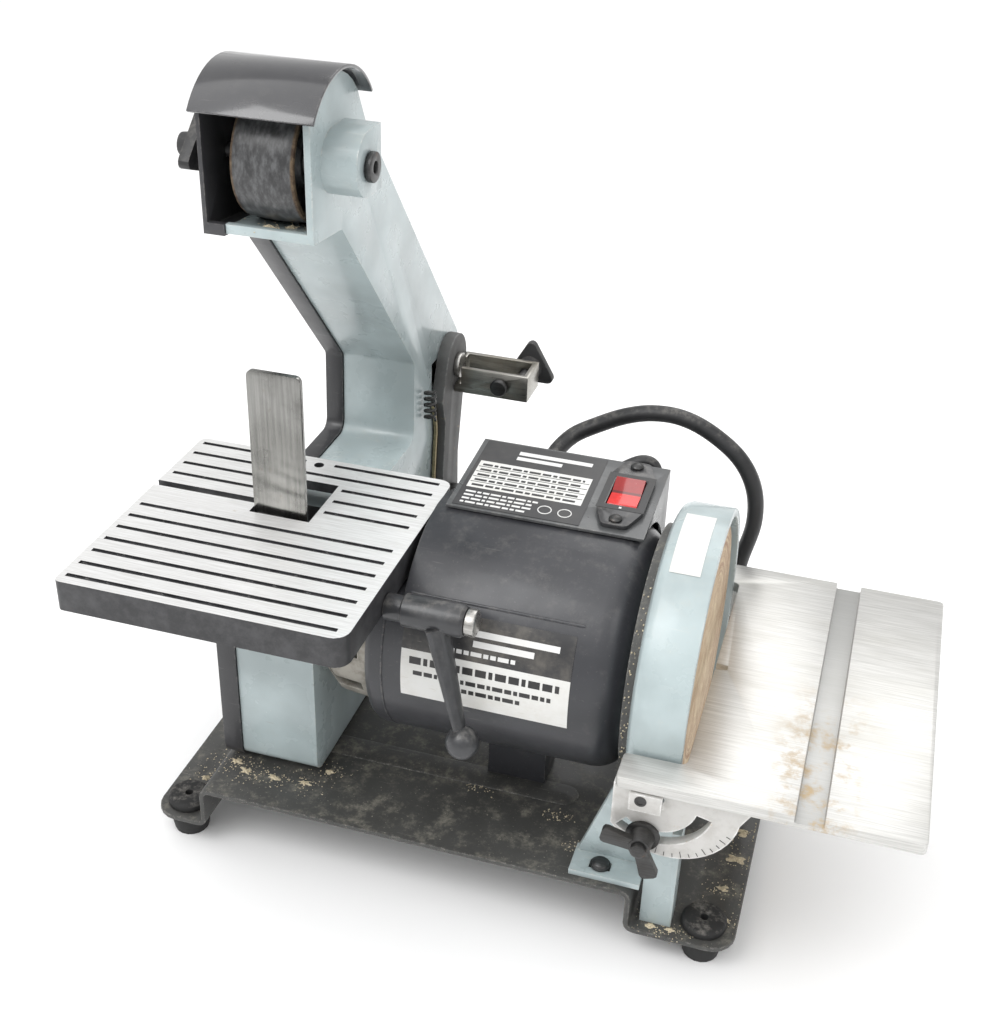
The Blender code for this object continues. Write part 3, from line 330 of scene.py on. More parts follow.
@dataclass(frozen=True)
class Finish:
    """A finish that is made into a material once and then shared."""

    name: str
    slot: Slot

    def material(self) -> bpy.types.Material:
        """Return the finish's material, made on first use."""
        return bpy.data.materials.get(self.name) or self.make(Graph(self.name))

    def make(self, graph: Graph) -> bpy.types.Material:
        """Build the material.

        Args:
            graph: the fresh graph that it is built in.

        Returns:
            The material.
        """
        raise NotImplementedError


@dataclass(frozen=True)
class Enamel(Finish):
    """Sprayed enamel with mottled tone, settled dust, faint scratches and wear to metal along edges."""

    colour: Colour = (0.1, 0.1, 0.1)
    gloss: float = 0.35
    chips: float = 0.6
    dust: float = 0.3
    dust_colour: Colour = GREY_DUST
    metal: Colour = (0.42, 0.40, 0.37)
    texture_mm: float = 1.2
    texture_depth: float = 0.02
    coat: float = 0.12
    speck: float = 0.7

    def make(self, graph: Graph) -> bpy.types.Material:
        """Build the material.

        Args:
            graph: the fresh graph that it is built in.

        Returns:
            The material.
        """
        tone = graph.noise(38, 4)
        darker = tuple(0.86 * c for c in self.colour)
        lighter = tuple(min(1.0, 1.12 * c + 0.002) for c in self.colour)
        paint = graph.mix(tone.ramp(0.3, 0.7), darker, lighter)
        smudge = graph.noise(7, 5, 0.65).ramp(0.56, 0.8)
        paint = graph.mix(smudge * self.dust * 0.5, paint, self.dust_colour)
        settled = graph.facing("Z").ramp(0.35, 0.95) * graph.noise(9, 6, 0.75).ramp(0.48, 0.76)
        specks = graph.noise(1.1, 2, 0.5).ramp(0.68, 0.73)
        dusty = (settled * self.dust + specks * self.speck * self.dust).at_most(1.0)
        paint = graph.mix(dusty, paint, self.dust_colour)
        ragged = graph.noise(3.2, 5, 0.7).ramp(0.46, 0.6)
        chip = (graph.edge(1.3) * ragged * self.chips).at_most(1.0)
        scratch = graph.noise(1.1, 2, 0.5, graph.stretched((0.05, 1.0, 0.35))).ramp(0.7, 0.76)
        chip = chip.at_least(scratch * self.chips * 0.35)
        colour = graph.mix(chip, paint, self.metal)
        grain = graph.noise(self.texture_mm, 3, 0.6)
        rough = graph.noise(22, 4).ramp(0.25, 0.75) * 0.16 + (self.gloss - 0.06) + dusty * 0.35
        skin = graph.bump(grain - chip * 0.8, self.texture_depth, 0.7)
        return graph.finish(Base_Color=colour, Roughness=rough, Metallic=chip * 0.75,
                            Coat_Weight=self.coat, Coat_Roughness=0.12, Normal=skin)


@dataclass(frozen=True)
class BareMetal(Finish):
    """Metal with fine tool marks along one direction, tarnish clouds and dirt or rust spots."""

    colour: Colour = (0.6, 0.6, 0.6)
    tarnish: Colour = (0.3, 0.28, 0.25)
    tarnish_share: float = 0.35
    rough: float = 0.32
    grain: Place = (0.04, 1.0, 1.0)
    grain_mm: float = 0.7
    grain_depth: float = 0.02
    spots: float = 0.25
    spot_colour: Colour = (0.20, 0.10, 0.04)

    def make(self, graph: Graph) -> bpy.types.Material:
        """Build the material.

        Args:
            graph: the fresh graph that it is built in.

        Returns:
            The material.
        """
        cloud = graph.noise(30, 5, 0.62).ramp(0.42, 0.72)
        marks = graph.noise(self.grain_mm, 3, 0.6, graph.stretched(self.grain))
        brighter = tuple(min(1.0, 1.1 * c) for c in self.colour)
        darker = tuple(0.8 * c for c in self.colour)
        metal = graph.mix(marks.ramp(0.3, 0.7), darker, brighter)
        metal = graph.mix(cloud * self.tarnish_share, metal, self.tarnish)
        blot = graph.noise(12, 6, 0.75).ramp(0.6, 0.74) * self.spots
        colour = graph.mix(blot, metal, self.spot_colour)
        rough = marks * 0.14 + cloud * 0.16 + blot * 0.3 + (self.rough - 0.12)
        return graph.finish(Base_Color=colour, Roughness=rough, Metallic=0.96 - blot * 0.7,
                            Normal=graph.bump(marks, self.grain_depth, 0.6))


@dataclass(frozen=True)
class RoughCasting(Finish):
    """Sand-cast metal with a pebbled skin, grime in it and brighter rubbed edges."""

    colour: Colour = (0.3, 0.3, 0.3)
    grime: Colour = (0.05, 0.045, 0.04)
    grime_share: float = 0.5
    metallic: float = 0.85

    def make(self, graph: Graph) -> bpy.types.Material:
        """Build the material.

        Args:
            graph: the fresh graph that it is built in.

        Returns:
            The material.
        """
        pebble = graph.noise(1.4, 4, 0.6)
        dirt = graph.noise(11, 6, 0.7).ramp(0.4, 0.66) * self.grime_share
        rubbed = graph.edge(1.6) * graph.noise(4, 4, 0.6).ramp(0.35, 0.6)
        colour = graph.mix(dirt, self.colour, self.grime)
        colour = graph.mix(graph.noise(5, 5, 0.7).ramp(0.62, 0.74) * 0.5, colour, SAWDUST)
        colour = graph.mix(rubbed * 0.7, colour, tuple(min(1.0, 1.5 * c + 0.12) for c in self.colour))
        rough = 0.58 - rubbed * 0.2 + pebble * 0.1
        return graph.finish(Base_Color=colour, Roughness=rough, Metallic=self.metallic - dirt * 0.6,
                            Normal=graph.bump(pebble, 0.09, 0.8))


@dataclass(frozen=True)
class Moulded(Finish):
    """Moulded plastic or rubber with a fine texture, scuffs and dust in its upward faces."""

    colour: Colour = (0.02, 0.02, 0.02)
    rough: float = 0.5
    scuff: Colour = (0.16, 0.15, 0.14)
    scuffs: float = 0.35
    dust: float = 0.25
    coat: float = 0.0
    texture_mm: float = 0.5

    def make(self, graph: Graph) -> bpy.types.Material:
        """Build the material.

        Args:
            graph: the fresh graph that it is built in.

        Returns:
            The material.
        """
        tone = graph.noise(14, 4).ramp(0.3, 0.7)
        base = graph.mix(tone, tuple(0.8 * c for c in self.colour), tuple(1.25 * c for c in self.colour))
        worn = graph.edge(1.1) * graph.noise(2.5, 4, 0.6).ramp(0.4, 0.65) * self.scuffs
        base = graph.mix(worn, base, self.scuff)
        dust = graph.facing("Z").ramp(0.2, 0.9) * graph.noise(6, 6, 0.7).ramp(0.45, 0.7) * self.dust
        colour = graph.mix(dust, base, GREY_DUST)
        grain = graph.noise(self.texture_mm, 2)
        rough = tone * 0.1 + (self.rough - 0.05) + dust * 0.3
        return graph.finish(Base_Color=colour, Roughness=rough, Metallic=0.0, Coat_Weight=self.coat,
                            Normal=graph.bump(grain, 0.02, 0.5))


@dataclass(frozen=True)
class RubberTyre(Finish):
    """Black rubber crown of a belt wheel, polished in a band, with rust on the metal sides."""

    centre_x: float = 0.0
    half_width: float = 0.014

    def make(self, graph: Graph) -> bpy.types.Material:
        """Build the material.

        Args:
            graph: the fresh graph that it is built in.

        Returns:
            The material.
        """
        across = (graph.axis("X") - self.centre_x).unsigned()
        side = across.ramp(self.half_width - 1.6 * MM, self.half_width - 0.6 * MM)
        streak = graph.noise(2.2, 5, 0.65, graph.stretched((1.0, 0.45, 0.45)))
        crown = graph.mix(streak.ramp(0.35, 0.75), (0.03, 0.03, 0.031), (0.11, 0.112, 0.115))
        blotch = graph.noise(4, 6, 0.7).ramp(0.35, 0.65)
        rust = graph.mix(blotch, (0.05, 0.03, 0.018), (0.16, 0.115, 0.07))
        colour = graph.mix(side, crown, rust)
        rough = streak * 0.25 + 0.24 + side * 0.3
        return graph.finish(Base_Color=colour, Roughness=rough, Metallic=side * 0.4,
                            Normal=graph.bump(streak, 0.05, 0.5))


@dataclass(frozen=True)
class WornGrit(Finish):
    """Abrasive disc with fine grit, glazed and burnt in rings towards its rim."""

    centre: Place = (0.0, 0.0, 0.0)
    radius: float = 0.0635

    def make(self, graph: Graph) -> bpy.types.Material:
        """Build the material.

        Args:
            graph: the fresh graph that it is built in.

        Returns:
            The material.
        """
        offset = graph.vector("SUBTRACT", graph.where(), self.centre).out(0)
        flat = graph.vector("MULTIPLY", offset, (0.0, 1.0, 1.0)).out(0)
        share = graph.vector("LENGTH", flat).out("Value") / self.radius
        ring = graph.add("ShaderNodeCombineXYZ", {}, {0: share, 1: 0.0, 2: 0.0}).out(0)
        rings = graph.add("ShaderNodeTexNoise", {}, {"Vector": ring, "Scale": 26.0, "Detail": 3.0}).out(0)
        burnt = (rings.ramp(0.4, 0.62) * share.ramp(0.2, 0.9)) * 0.75
        base = graph.mix(graph.noise(9, 5, 0.7).ramp(0.3, 0.7), (0.52, 0.37, 0.24), (0.74, 0.62, 0.44))
        colour = graph.mix(burnt, base, (0.30, 0.13, 0.07))
        colour = graph.mix(graph.noise(0.5, 2).ramp(0.55, 0.65) * 0.4, colour, (0.80, 0.70, 0.54))
        return graph.finish(Base_Color=colour, Roughness=0.9 - burnt * 0.3, Metallic=0.0,
                            Normal=graph.bump(graph.noise(0.45, 2), 0.12, 0.9))


@dataclass(frozen=True)
class TopAndSides(Finish):
    """Table with a machined bright top and black painted sides, underside and grooves."""

    top_z: float = 0.0

    def make(self, graph: Graph) -> bpy.types.Material:
        """Build the material.

        Args:
            graph: the fresh graph that it is built in.

        Returns:
            The material.
        """
        high = graph.axis("Z").ramp(self.top_z - 0.6 * MM, self.top_z - 0.2 * MM)
        top = graph.facing("Z").ramp(0.75, 0.9) * high
        marks = graph.noise(0.5, 3, 0.6, graph.stretched((0.03, 1.0, 1.0)))
        bright = graph.mix(marks.ramp(0.3, 0.7), (0.74, 0.735, 0.72), (0.90, 0.90, 0.895))
        stain = graph.noise(8, 6, 0.75).ramp(0.66, 0.76)
        bright = graph.mix(stain * 0.5, bright, (0.50, 0.42, 0.30))
        mottle = graph.noise(10, 5, 0.7).ramp(0.35, 0.7)
        black = graph.mix(mottle, (0.022, 0.022, 0.024), (0.055, 0.055, 0.058))
        black = graph.mix(graph.noise(1.2, 4, 0.6).ramp(0.7, 0.76) * 0.25, black, GREY_DUST)
        chip = graph.edge(0.6) * graph.noise(3, 4, 0.65).ramp(0.56, 0.7) * (1.0 - top)
        black = graph.mix(chip * 0.8, black, (0.55, 0.54, 0.52))
        colour = graph.mix(top, black, bright)
        rough = top * (marks * 0.16 - 0.1) + 0.42
        return graph.finish(Base_Color=colour, Roughness=rough, Metallic=top * 0.55 + chip * 0.4,
                            Normal=graph.bump(marks * top + graph.noise(1.1, 3) * (1.0 - top), 0.02, 0.6))


@dataclass(frozen=True)
class SlottedTable(Finish):
    """Ground aluminium table with grinding lines, painted shade on the mitre slot's floor and rust stains
    beside it.
    """

    top_z: float = 0.0
    slot_x: float = 0.0

    def make(self, graph: Graph) -> bpy.types.Material:
        """Build the material.

        Args:
            graph: the fresh graph that it is built in.

        Returns:
            The material.
        """
        lines = graph.noise(0.6, 4, 0.65, graph.stretched((0.025, 1.0, 1.0)))
        broad = graph.noise(26, 5, 0.6, graph.stretched((0.35, 1.0, 1.0)))
        metal = graph.mix(lines.ramp(0.25, 0.75), (0.50, 0.495, 0.475), (0.70, 0.695, 0.675))
        metal = graph.mix(broad.ramp(0.4, 0.75) * 0.5, metal, (0.46, 0.45, 0.41))
        # Painted shade: up-facing faces more than 0.6 mm below the top, the slot's floor, are darkened.
        below = graph.axis("Z").ramp(self.top_z - 0.6 * MM, self.top_z - 2.2 * MM)
        slot_floor_shade = below * graph.facing("Z").ramp(0.7, 0.9)
        metal = graph.mix(slot_floor_shade * 0.75, metal, (0.36, 0.36, 0.35))
        near = (graph.axis("X") - self.slot_x).unsigned()
        stain = near.ramp(0.026, 0.005) * graph.noise(13, 6, 0.75).ramp(0.46, 0.66)
        stain = stain * graph.axis("Y").ramp(-0.02, -0.09)
        colour = graph.mix(stain * 0.8, metal, (0.46, 0.33, 0.17))
        rough = lines * 0.16 + broad * 0.12 + 0.26 + stain * 0.2
        return graph.finish(Base_Color=colour, Roughness=rough, Metallic=0.7 - stain * 0.4,
                            Normal=graph.bump(lines, 0.02, 0.55))


@dataclass(frozen=True)
class Print(Finish):
    """Flat printed film in one ink, a little yellowed, rubbed and dusty."""

    colour: Colour = (0.8, 0.8, 0.8)
    rough: float = 0.38
    rubbed: Colour = (0.4, 0.4, 0.4)
    rubbing: float = 0.3

    def make(self, graph: Graph) -> bpy.types.Material:
        """Build the material.

        Args:
            graph: the fresh graph that it is built in.

        Returns:
            The material.
        """
        tone = graph.noise(18, 5, 0.65).ramp(0.4, 0.75)
        colour = graph.mix(tone * self.rubbing, self.colour, self.rubbed)
        scuff = graph.noise(1.0, 4, 0.6, graph.stretched((0.2, 1.0, 1.0))).ramp(0.62, 0.7)
        colour = graph.mix(scuff * self.rubbing * 0.8, colour, self.rubbed)
        return graph.finish(Base_Color=colour, Roughness=tone * 0.15 + self.rough, Metallic=0.0,
                            Normal=graph.bump(graph.noise(2.5, 3), 0.02, 0.4))


@dataclass(frozen=True)
class Glaze(Finish):
    """Red translucent rocker plastic, with painted shade on its rear half and along its middle line, and a
    faint painted glow.
    """

    middle_y: float = 0.0

    def make(self, graph: Graph) -> bpy.types.Material:
        """Build the material.

        Args:
            graph: the fresh graph that it is built in.

        Returns:
            The material.
        """
        tone = graph.noise(4, 3).ramp(0.3, 0.7)
        colour = graph.mix(tone, (0.56, 0.006, 0.005), (0.72, 0.014, 0.011))
        along = graph.axis("Y") - self.middle_y
        # Painted shade: the rocker's rear half is darkened.
        colour = graph.mix(along.ramp(-0.0006, 0.0010) * 0.75, colour, (0.16, 0.004, 0.004))
        # Painted shade: a dark line along the rocker's middle.
        line = (along * along).ramp(0.0000012, 0.0000002)
        colour = graph.mix(line * 0.8, colour, (0.03, 0.004, 0.004))
        dust = graph.noise(2.0, 4, 0.7).ramp(0.62, 0.74) * 0.25
        dusty = graph.mix(dust, colour, GREY_DUST)
        # Painted glow: a faint emission of the rocker's own colour, with no lamp inside it.
        return graph.finish(Base_Color=dusty, Roughness=0.18 + dust, Metallic=0.0, Coat_Weight=0.6,
                            Emission_Color=colour, Emission_Strength=0.05)


@dataclass(frozen=True)
class Crumbs(Finish):
    """Heaped sawdust."""

    def make(self, graph: Graph) -> bpy.types.Material:
        """Build the material.

        Args:
            graph: the fresh graph that it is built in.

        Returns:
            The material.
        """
        grain = graph.noise(0.7, 3, 0.6)
        colour = graph.mix(grain.ramp(0.3, 0.7), (0.46, 0.38, 0.26), (0.76, 0.68, 0.50))
        colour = graph.mix(graph.noise(5, 4).ramp(0.55, 0.7) * 0.4, colour, (0.27, 0.23, 0.16))
        return graph.finish(Base_Color=colour, Roughness=0.95, Metallic=0.0,
                            Normal=graph.bump(grain, 0.35, 1.0))


# ------------------------------------------------------------------ shared making

@dataclass
class Shop:
    """Shared frame, makers of meshes and the ways to dress pieces and let them ride on bodies."""

    frame: dict[str, Any]
    origin: Vector = field(init=False)

    def __post_init__(self) -> None:
        """Find the point that places count from: on the shaft's axis, at the guard's rim."""
        low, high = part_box("motor_shaft")
        self.origin = (low + high) / 2
        self.origin.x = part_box("disc_guard")[1].x

    def at(self, x: float, y: float, z: float) -> Vector:
        """Return a place given in millimetres, in metres in the row frame."""
        return self.origin + Vector((x, y, z)) * MM

    def dress(self, finish: Finish, *names: str, round_mm: float = 0.5, angle: float = 30.0,
              flatten: bool = True) -> None:
        """Give CAD nodes a finish, small rounded edges and smooth curved faces.

        Args:
            finish: the finish.
            names: the nodes.
            round_mm: width of the rounding of their sharp edges, 0 for none.
            angle: the least angle in degrees between faces that counts as an edge.
            flatten: whether flat areas are merged into single faces first.
        """
        for name in names:
            piece = self.frame["nodes"][name]
            self.coat(piece, finish)
            weld = piece.modifiers.new("weld", "WELD")
            weld.merge_threshold = 0.00001
            if flatten:
                merge = piece.modifiers.new("flatten", "DECIMATE")
                merge.decimate_type = "DISSOLVE"
                merge.angle_limit = math.radians(0.5)
            if round_mm:
                self.soften(piece, round_mm, angle)
            smooth = piece.modifiers.new("smooth", "NODES")
            smooth.node_group = smooth_group(angle)
            log.info("dressed %s in %s", name, finish.name)

    @staticmethod
    def soften(piece: bpy.types.Object, width_mm: float, angle: float = 30.0) -> None:
        """Add a bevel to a piece's sharp edges.

        Args:
            piece: the piece.
            width_mm: the bevel's width.
            angle: the least angle in degrees between faces that counts as an edge.
        """
        rounding = piece.modifiers.new("rounding", "BEVEL")
        rounding.width = width_mm * MM
        rounding.segments = 2
        rounding.limit_method = "ANGLE"
        rounding.angle_limit = math.radians(angle)
        rounding.miter_outer = "MITER_ARC"

    @staticmethod
    def coat(piece: bpy.types.Object, finish: Finish) -> None:
        """Put one finish on every slot of a piece.

        Args:
            piece: the piece.
            finish: the finish.
        """
        material = finish.material()
        if not piece.material_slots:
            piece.data.materials.append(material)
        for slot in piece.material_slots:
            slot.material = material

    def join(self, piece: bpy.types.Object, finish: Finish, body: str) -> bpy.types.Object:
        """Coat an added piece and let it ride on a body.

        Args:
            piece: the piece.
            finish: its finish.
            body: the CAD body that it moves with.

        Returns:
            The same piece.
        """
        self.coat(piece, finish)
        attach(piece, body)
        log.info("made %s", piece.name)
        return piece

    def make(self, name: str, bm: bmesh.types.BMesh, finish: Finish, body: str,
             smooth: bool = True) -> bpy.types.Object:
        """Turn a bmesh into a finished piece that rides on a body.

        Args:
            name: the piece's name.
            bm: its mesh, freed here.
            finish: its finish.
            body: the CAD body that it moves with.
            smooth: whether its curved faces are shaded smooth.

        Returns:
            The piece.
        """
        bmesh.ops.recalc_face_normals(bm, faces=bm.faces)
        mesh = bpy.data.meshes.new(name)
        bm.to_mesh(mesh)
        bm.free()
        if smooth:
            mesh.shade_smooth()
            mesh.set_sharp_from_angle(angle=math.radians(SHARP_OVER))
        return self.join(linked(name, mesh), finish, body)

    def sheet(self, name: str, surface: Surface, patches: Sequence[Patch], lift_mm: float, finish: Finish,
              body: str, steps: int = 1) -> bpy.types.Object:
        """Lay thin closed patches on a surface, such as a film or its printed bars.

        Args:
            name: the piece's name.
            surface: gives the place on the surface, in metres, from two coordinates in millimetres.
            patches: (left, right, low, high) of each patch in those coordinates.
            lift_mm: how far the patches stand off the surface.
            finish: the finish.
            body: the CAD body that it moves with.
            steps: how many strips each patch has along its second coordinate.

        Returns:
            The piece.
        """
        bm = bmesh.new()
        heights = (lift_mm, lift_mm - FILM_THICKNESS)
        for left, right, low, high in patches:
            rows = []
            for k in range(steps + 1):
                v = low + (high - low) * k / steps
                pair = [surface(u, v) for u in (left, right)]
                nearby = surface(left, v + 0.1)
                out = (pair[1] - pair[0]).cross(nearby - pair[0]).normalized()
                rows.append([bm.verts.new(p + out * lift * MM) for p in pair for lift in heights])
            for a, b in zip(rows, rows[1:]):
                for i, j in ((0, 2), (2, 3), (3, 1), (1, 0)):
                    bm.faces.new((a[i], a[j], b[j], b[i]))
            for row in (rows[0], rows[-1]):
                bm.faces.new((row[0], row[2], row[3], row[1]))
        return self.make(name, bm, finish, body, smooth=steps > 1)

    def lathe(self, name: str, profile: Sequence[Flat], axis: Vector, centre: Vector, finish: Finish,
              body: str, steps: int = 48) -> bpy.types.Object:
        """Turn a closed profile of (radius, place along the axis) pairs, in millimetres, about an axis.

        Args:
            name: the piece's name.
            profile: the closed outline.
            axis: the direction of the axis.
            centre: the axis's zero.
            finish: the finish.
            body: the CAD body that it moves with.
            steps: segments round the axis.

        Returns:
            The piece.
        """
        bm = bmesh.new()
        ring = [bm.verts.new((r * MM, 0.0, h * MM)) for r, h in profile]
        edges = [bm.edges.new((a, b)) for a, b in zip(ring, ring[1:] + ring[:1])]
        bmesh.ops.spin(bm, geom=ring + edges, axis=(0, 0, 1), cent=(0, 0, 0), steps=steps,
                       angle=math.tau, use_duplicate=False)
        bmesh.ops.remove_doubles(bm, verts=bm.verts, dist=0.000005)
        turn = axis.to_track_quat("Z", "Y").to_matrix().to_4x4()
        bmesh.ops.transform(bm, matrix=Matrix.Translation(centre) @ turn, verts=bm.verts)
        return self.make(name, bm, finish, body)

    def wire(self, name: str, points: Sequence[Vector], radius_mm: float, finish: Finish, body: str,
             closed: bool = False) -> bpy.types.Object:
        """Round bar or bead along points.

        Args:
            name: the piece's name.
            points: the centreline in metres.
            radius_mm: its radius.
            finish: the finish.
            body: the CAD body that it moves with.
            closed: whether it joins up.

        Returns:
            The piece, a curve object.
        """
        curve = bpy.data.curves.new(name, "CURVE")
        curve.dimensions = "3D"
        curve.bevel_depth = radius_mm * MM
        curve.bevel_resolution = 3
        curve.use_fill_caps = True
        spline = curve.splines.new("POLY")
        spline.points.add(len(points) - 1)
        for point, place in zip(spline.points, points):
            point.co = (*place, 1.0)
        spline.use_cyclic_u = closed
        spline.use_smooth = True
        return self.join(linked(name, curve), finish, body)


def linked(name: str, data: bpy.types.ID) -> bpy.types.Object:
    """Return a new object of this data in the scene.

    Args:
        name: the object's name.
        data: its mesh, curve, lamp or camera.

    Returns:
        The object.
    """
    thing = bpy.data.objects.new(name, data)
    bpy.context.scene.collection.objects.link(thing)
    return thing


def pellet(bm: bmesh.types.BMesh, matrix: Matrix) -> None:
    """Add one small lump, a unit ball under a matrix."""
    bmesh.ops.create_icosphere(bm, subdivisions=1, radius=1.0, matrix=matrix)


def smooth_group(angle: float) -> bpy.types.NodeTree:
    """Return the geometry node group that shades smooth and keeps edges over an angle sharp.

    Args:
        angle: the least angle in degrees that stays sharp.

    Returns:
        The node group, made on first use.
    """
    name = f"smooth_below_{angle:.0f}"
    group = bpy.data.node_groups.get(name)
    if group:
        return group
    group = bpy.data.node_groups.new(name, "GeometryNodeTree")
    for way in ("INPUT", "OUTPUT"):
        group.interface.new_socket("Geometry", in_out=way, socket_type="NodeSocketGeometry")
    start, end = group.nodes.new("NodeGroupInput"), group.nodes.new("NodeGroupOutput")
    faces = group.nodes.new("GeometryNodeSetShadeSmooth")
    edges = group.nodes.new("GeometryNodeSetShadeSmooth")
    edges.domain = "EDGE"
    edges.inputs["Shade Smooth"].default_value = False
    fold = group.nodes.new("GeometryNodeInputMeshEdgeAngle")
    sharp = group.nodes.new("FunctionNodeCompare")
    sharp.operation = "GREATER_THAN"
    sharp.inputs[1].default_value = math.radians(angle)
    links = group.links
    links.new(start.outputs[0], faces.inputs["Geometry"])
    links.new(faces.outputs[0], edges.inputs["Geometry"])
    links.new(fold.outputs["Unsigned Angle"], sharp.inputs[0])
    links.new(sharp.outputs[0], edges.inputs["Selection"])
    links.new(edges.outputs[0], end.inputs[0])
    return group


def through(route: Sequence[Place], step: float) -> list[Vector]:
    """Return places about a step apart along a smooth curve through a route.

    Args:
        route: the points that the curve passes.
        step: the distance between places, in the route's unit.

    Returns:
        The places.
    """
    knots = [Vector(p) for p in route]
    knots = [2 * knots[0] - knots[1]] + knots + [2 * knots[-1] - knots[-2]]
    places = [knots[1]]
    for a, b, c, d in zip(knots, knots[1:], knots[2:], knots[3:]):
        count = max(1, round((c - b).length / step))
        for i in range(1, count + 1):
            t = i / count
            places.append(0.5 * (2 * b + (c - a) * t + (2 * a - 5 * b + 4 * c - d) * t * t
                                 + (3 * b - a - 3 * c + d) * t ** 3))
    return places


def eased(value: float, low: float, high: float) -> float:
    """Return a smooth step of value from 0 at low to 1 at high."""
    share = min(1.0, max(0.0, (value - low) / (high - low)))
    return share * share * (3 - 2 * share)


def dashes(left: float, right: float, low: float, height: float, seed: int, gap: float = 0.9,
           longest: float = 7.0) -> list[tuple[float, ...]]:
    """Return a row of printed dashes of uneven lengths.

    Args:
        left: where the row starts.
        right: where it ends.
        low: its lower edge.
        height: its height.
        seed: what makes one row differ from another.
        gap: the space between dashes.
        longest: the greatest length of a dash.

    Returns:
        (left, right, low, high) of each dash.
    """
    row, x, i = [], left, 0
    while x < right - 1.0:
        share = 0.5 + 0.5 * math.sin(12.9898 * (seed + 1) + 4.1414 * i)
        length = min(right - x, longest * (0.3 + 0.7 * share))
        row.append((x, x + length, low, low + height))
        x += length + gap
        i += 1
    return row


# ------------------------------------------------------------------ finishes in use

BLACK_ENAMEL = Enamel("black_enamel", Slot.BLACK_PAINT, (0.034, 0.035, 0.040), 0.36, 0.3, 0.14)
COVER_ENAMEL = Enamel("cover_enamel", Slot.BLACK_PAINT, (0.040, 0.040, 0.043), 0.34, 0.3, 0.12)
BOX_ENAMEL = Enamel("box_enamel", Slot.BLUE_GREY, (0.085, 0.088, 0.090), 0.28, 0.35, 0.12)
BASE_ENAMEL = Enamel("base_enamel", Slot.BLACK_PAINT, (0.055, 0.055, 0.052), 0.5, 0.55, 0.7,
                     (0.27, 0.255, 0.21), texture_mm=0.9, texture_depth=0.12, speck=1.3)
HOOD_ENAMEL = Enamel("hood_enamel", Slot.BLACK_PAINT, (0.026, 0.026, 0.030), 0.2, 0.25, 0.05, coat=0.9)
MACHINE_ENAMEL = Enamel("blue_grey_enamel", Slot.BLUE_GREY, (0.40, 0.47, 0.478), 0.28, 0.6, 0.2,
                        (0.52, 0.49, 0.40), (0.60, 0.59, 0.55), coat=0.3)
CAST_ALUMINIUM = RoughCasting("cast_aluminium_skin", Slot.ALUMINIUM, (0.42, 0.40, 0.36),
                              (0.10, 0.085, 0.06), 0.6)
PALE_ALUMINIUM = RoughCasting("pale_casting", Slot.ALUMINIUM, (0.62, 0.61, 0.59),
                              (0.30, 0.28, 0.24), 0.3, 0.6)
TURNED_ALUMINIUM = BareMetal("turned_aluminium", Slot.ALUMINIUM, (0.66, 0.66, 0.65), grain=(1.0, 0.1, 0.1))
BRIGHT_STEEL = BareMetal("bright_steel_skin", Slot.BRIGHT_STEEL, (0.48, 0.47, 0.45), spots=0.4)
BRACKET_STEEL = BareMetal("bracket_steel", Slot.BRIGHT_STEEL, (0.40, 0.39, 0.36), (0.24, 0.20, 0.13), 0.5,
                          0.34, spots=0.3, spot_colour=(0.30, 0.24, 0.12))
BRASS = BareMetal("brass_strip", Slot.BRIGHT_STEEL, (0.50, 0.43, 0.27), (0.30, 0.24, 0.14), 0.5, 0.4)
PLATEN_STEEL = BareMetal("platen_steel", Slot.BRIGHT_STEEL, (0.29, 0.288, 0.275), (0.13, 0.128, 0.12), 0.6,
                         0.24, grain=(1.0, 1.0, 0.03), grain_mm=1.1, spots=0.3)
DARK_STEEL = BareMetal("dark_steel_skin", Slot.DARK_STEEL, (0.085, 0.085, 0.085), (0.05, 0.045, 0.04), 0.5,
                       0.42, spots=0.35)
ARM_CASTING = RoughCasting("arm_casting", Slot.CASTING, (0.12, 0.12, 0.118), (0.03, 0.028, 0.025), 0.4, 0.3)
KNOB_PLASTIC = Moulded("knob_plastic", Slot.BLACK_PLASTIC, (0.026, 0.026, 0.027), 0.46, scuffs=0.5)
LEVER_PLASTIC = Moulded("lever_plastic", Slot.BLACK_PLASTIC, (0.038, 0.039, 0.042), 0.34, scuffs=0.5,
                        coat=0.15)
BEZEL_PLASTIC = Moulded("bezel_plastic", Slot.BLACK_PLASTIC, (0.03, 0.03, 0.032), 0.3, scuffs=0.3, coat=0.2)
FOOT_RUBBER = Moulded("foot_rubber", Slot.RUBBER, (0.016, 0.016, 0.016), 0.72, dust=0.5)
CORD_RUBBER = Moulded("cord_rubber", Slot.RUBBER, (0.020, 0.020, 0.021), 0.42, scuffs=0.2, dust=0.3)
PLATE_BLACK = Print("plate_black", Slot.BLACK_PLASTIC, (0.035, 0.035, 0.037), 0.3, (0.12, 0.11, 0.10))
PLATE_PALE = Print("plate_pale", Slot.BLACK_PLASTIC, (0.72, 0.72, 0.70), 0.3, (0.52, 0.49, 0.42), 0.35)
INK_PALE = Print("ink_pale", Slot.BLACK_PLASTIC, (0.74, 0.74, 0.73), 0.35, (0.5, 0.48, 0.44), 0.2)
INK_BLACK = Print("ink_black", Slot.BLACK_PLASTIC, (0.02, 0.02, 0.021), 0.35, (0.12, 0.11, 0.10), 0.2)
FILM_GREY = Print("film_grey", Slot.BLACK_PLASTIC, (0.035, 0.035, 0.037), 0.3, (0.22, 0.20, 0.17), 0.5)
HEAP = Crumbs("sawdust", Slot.ABRASIVE)


# ------------------------------------------------------------------ sub-assemblies

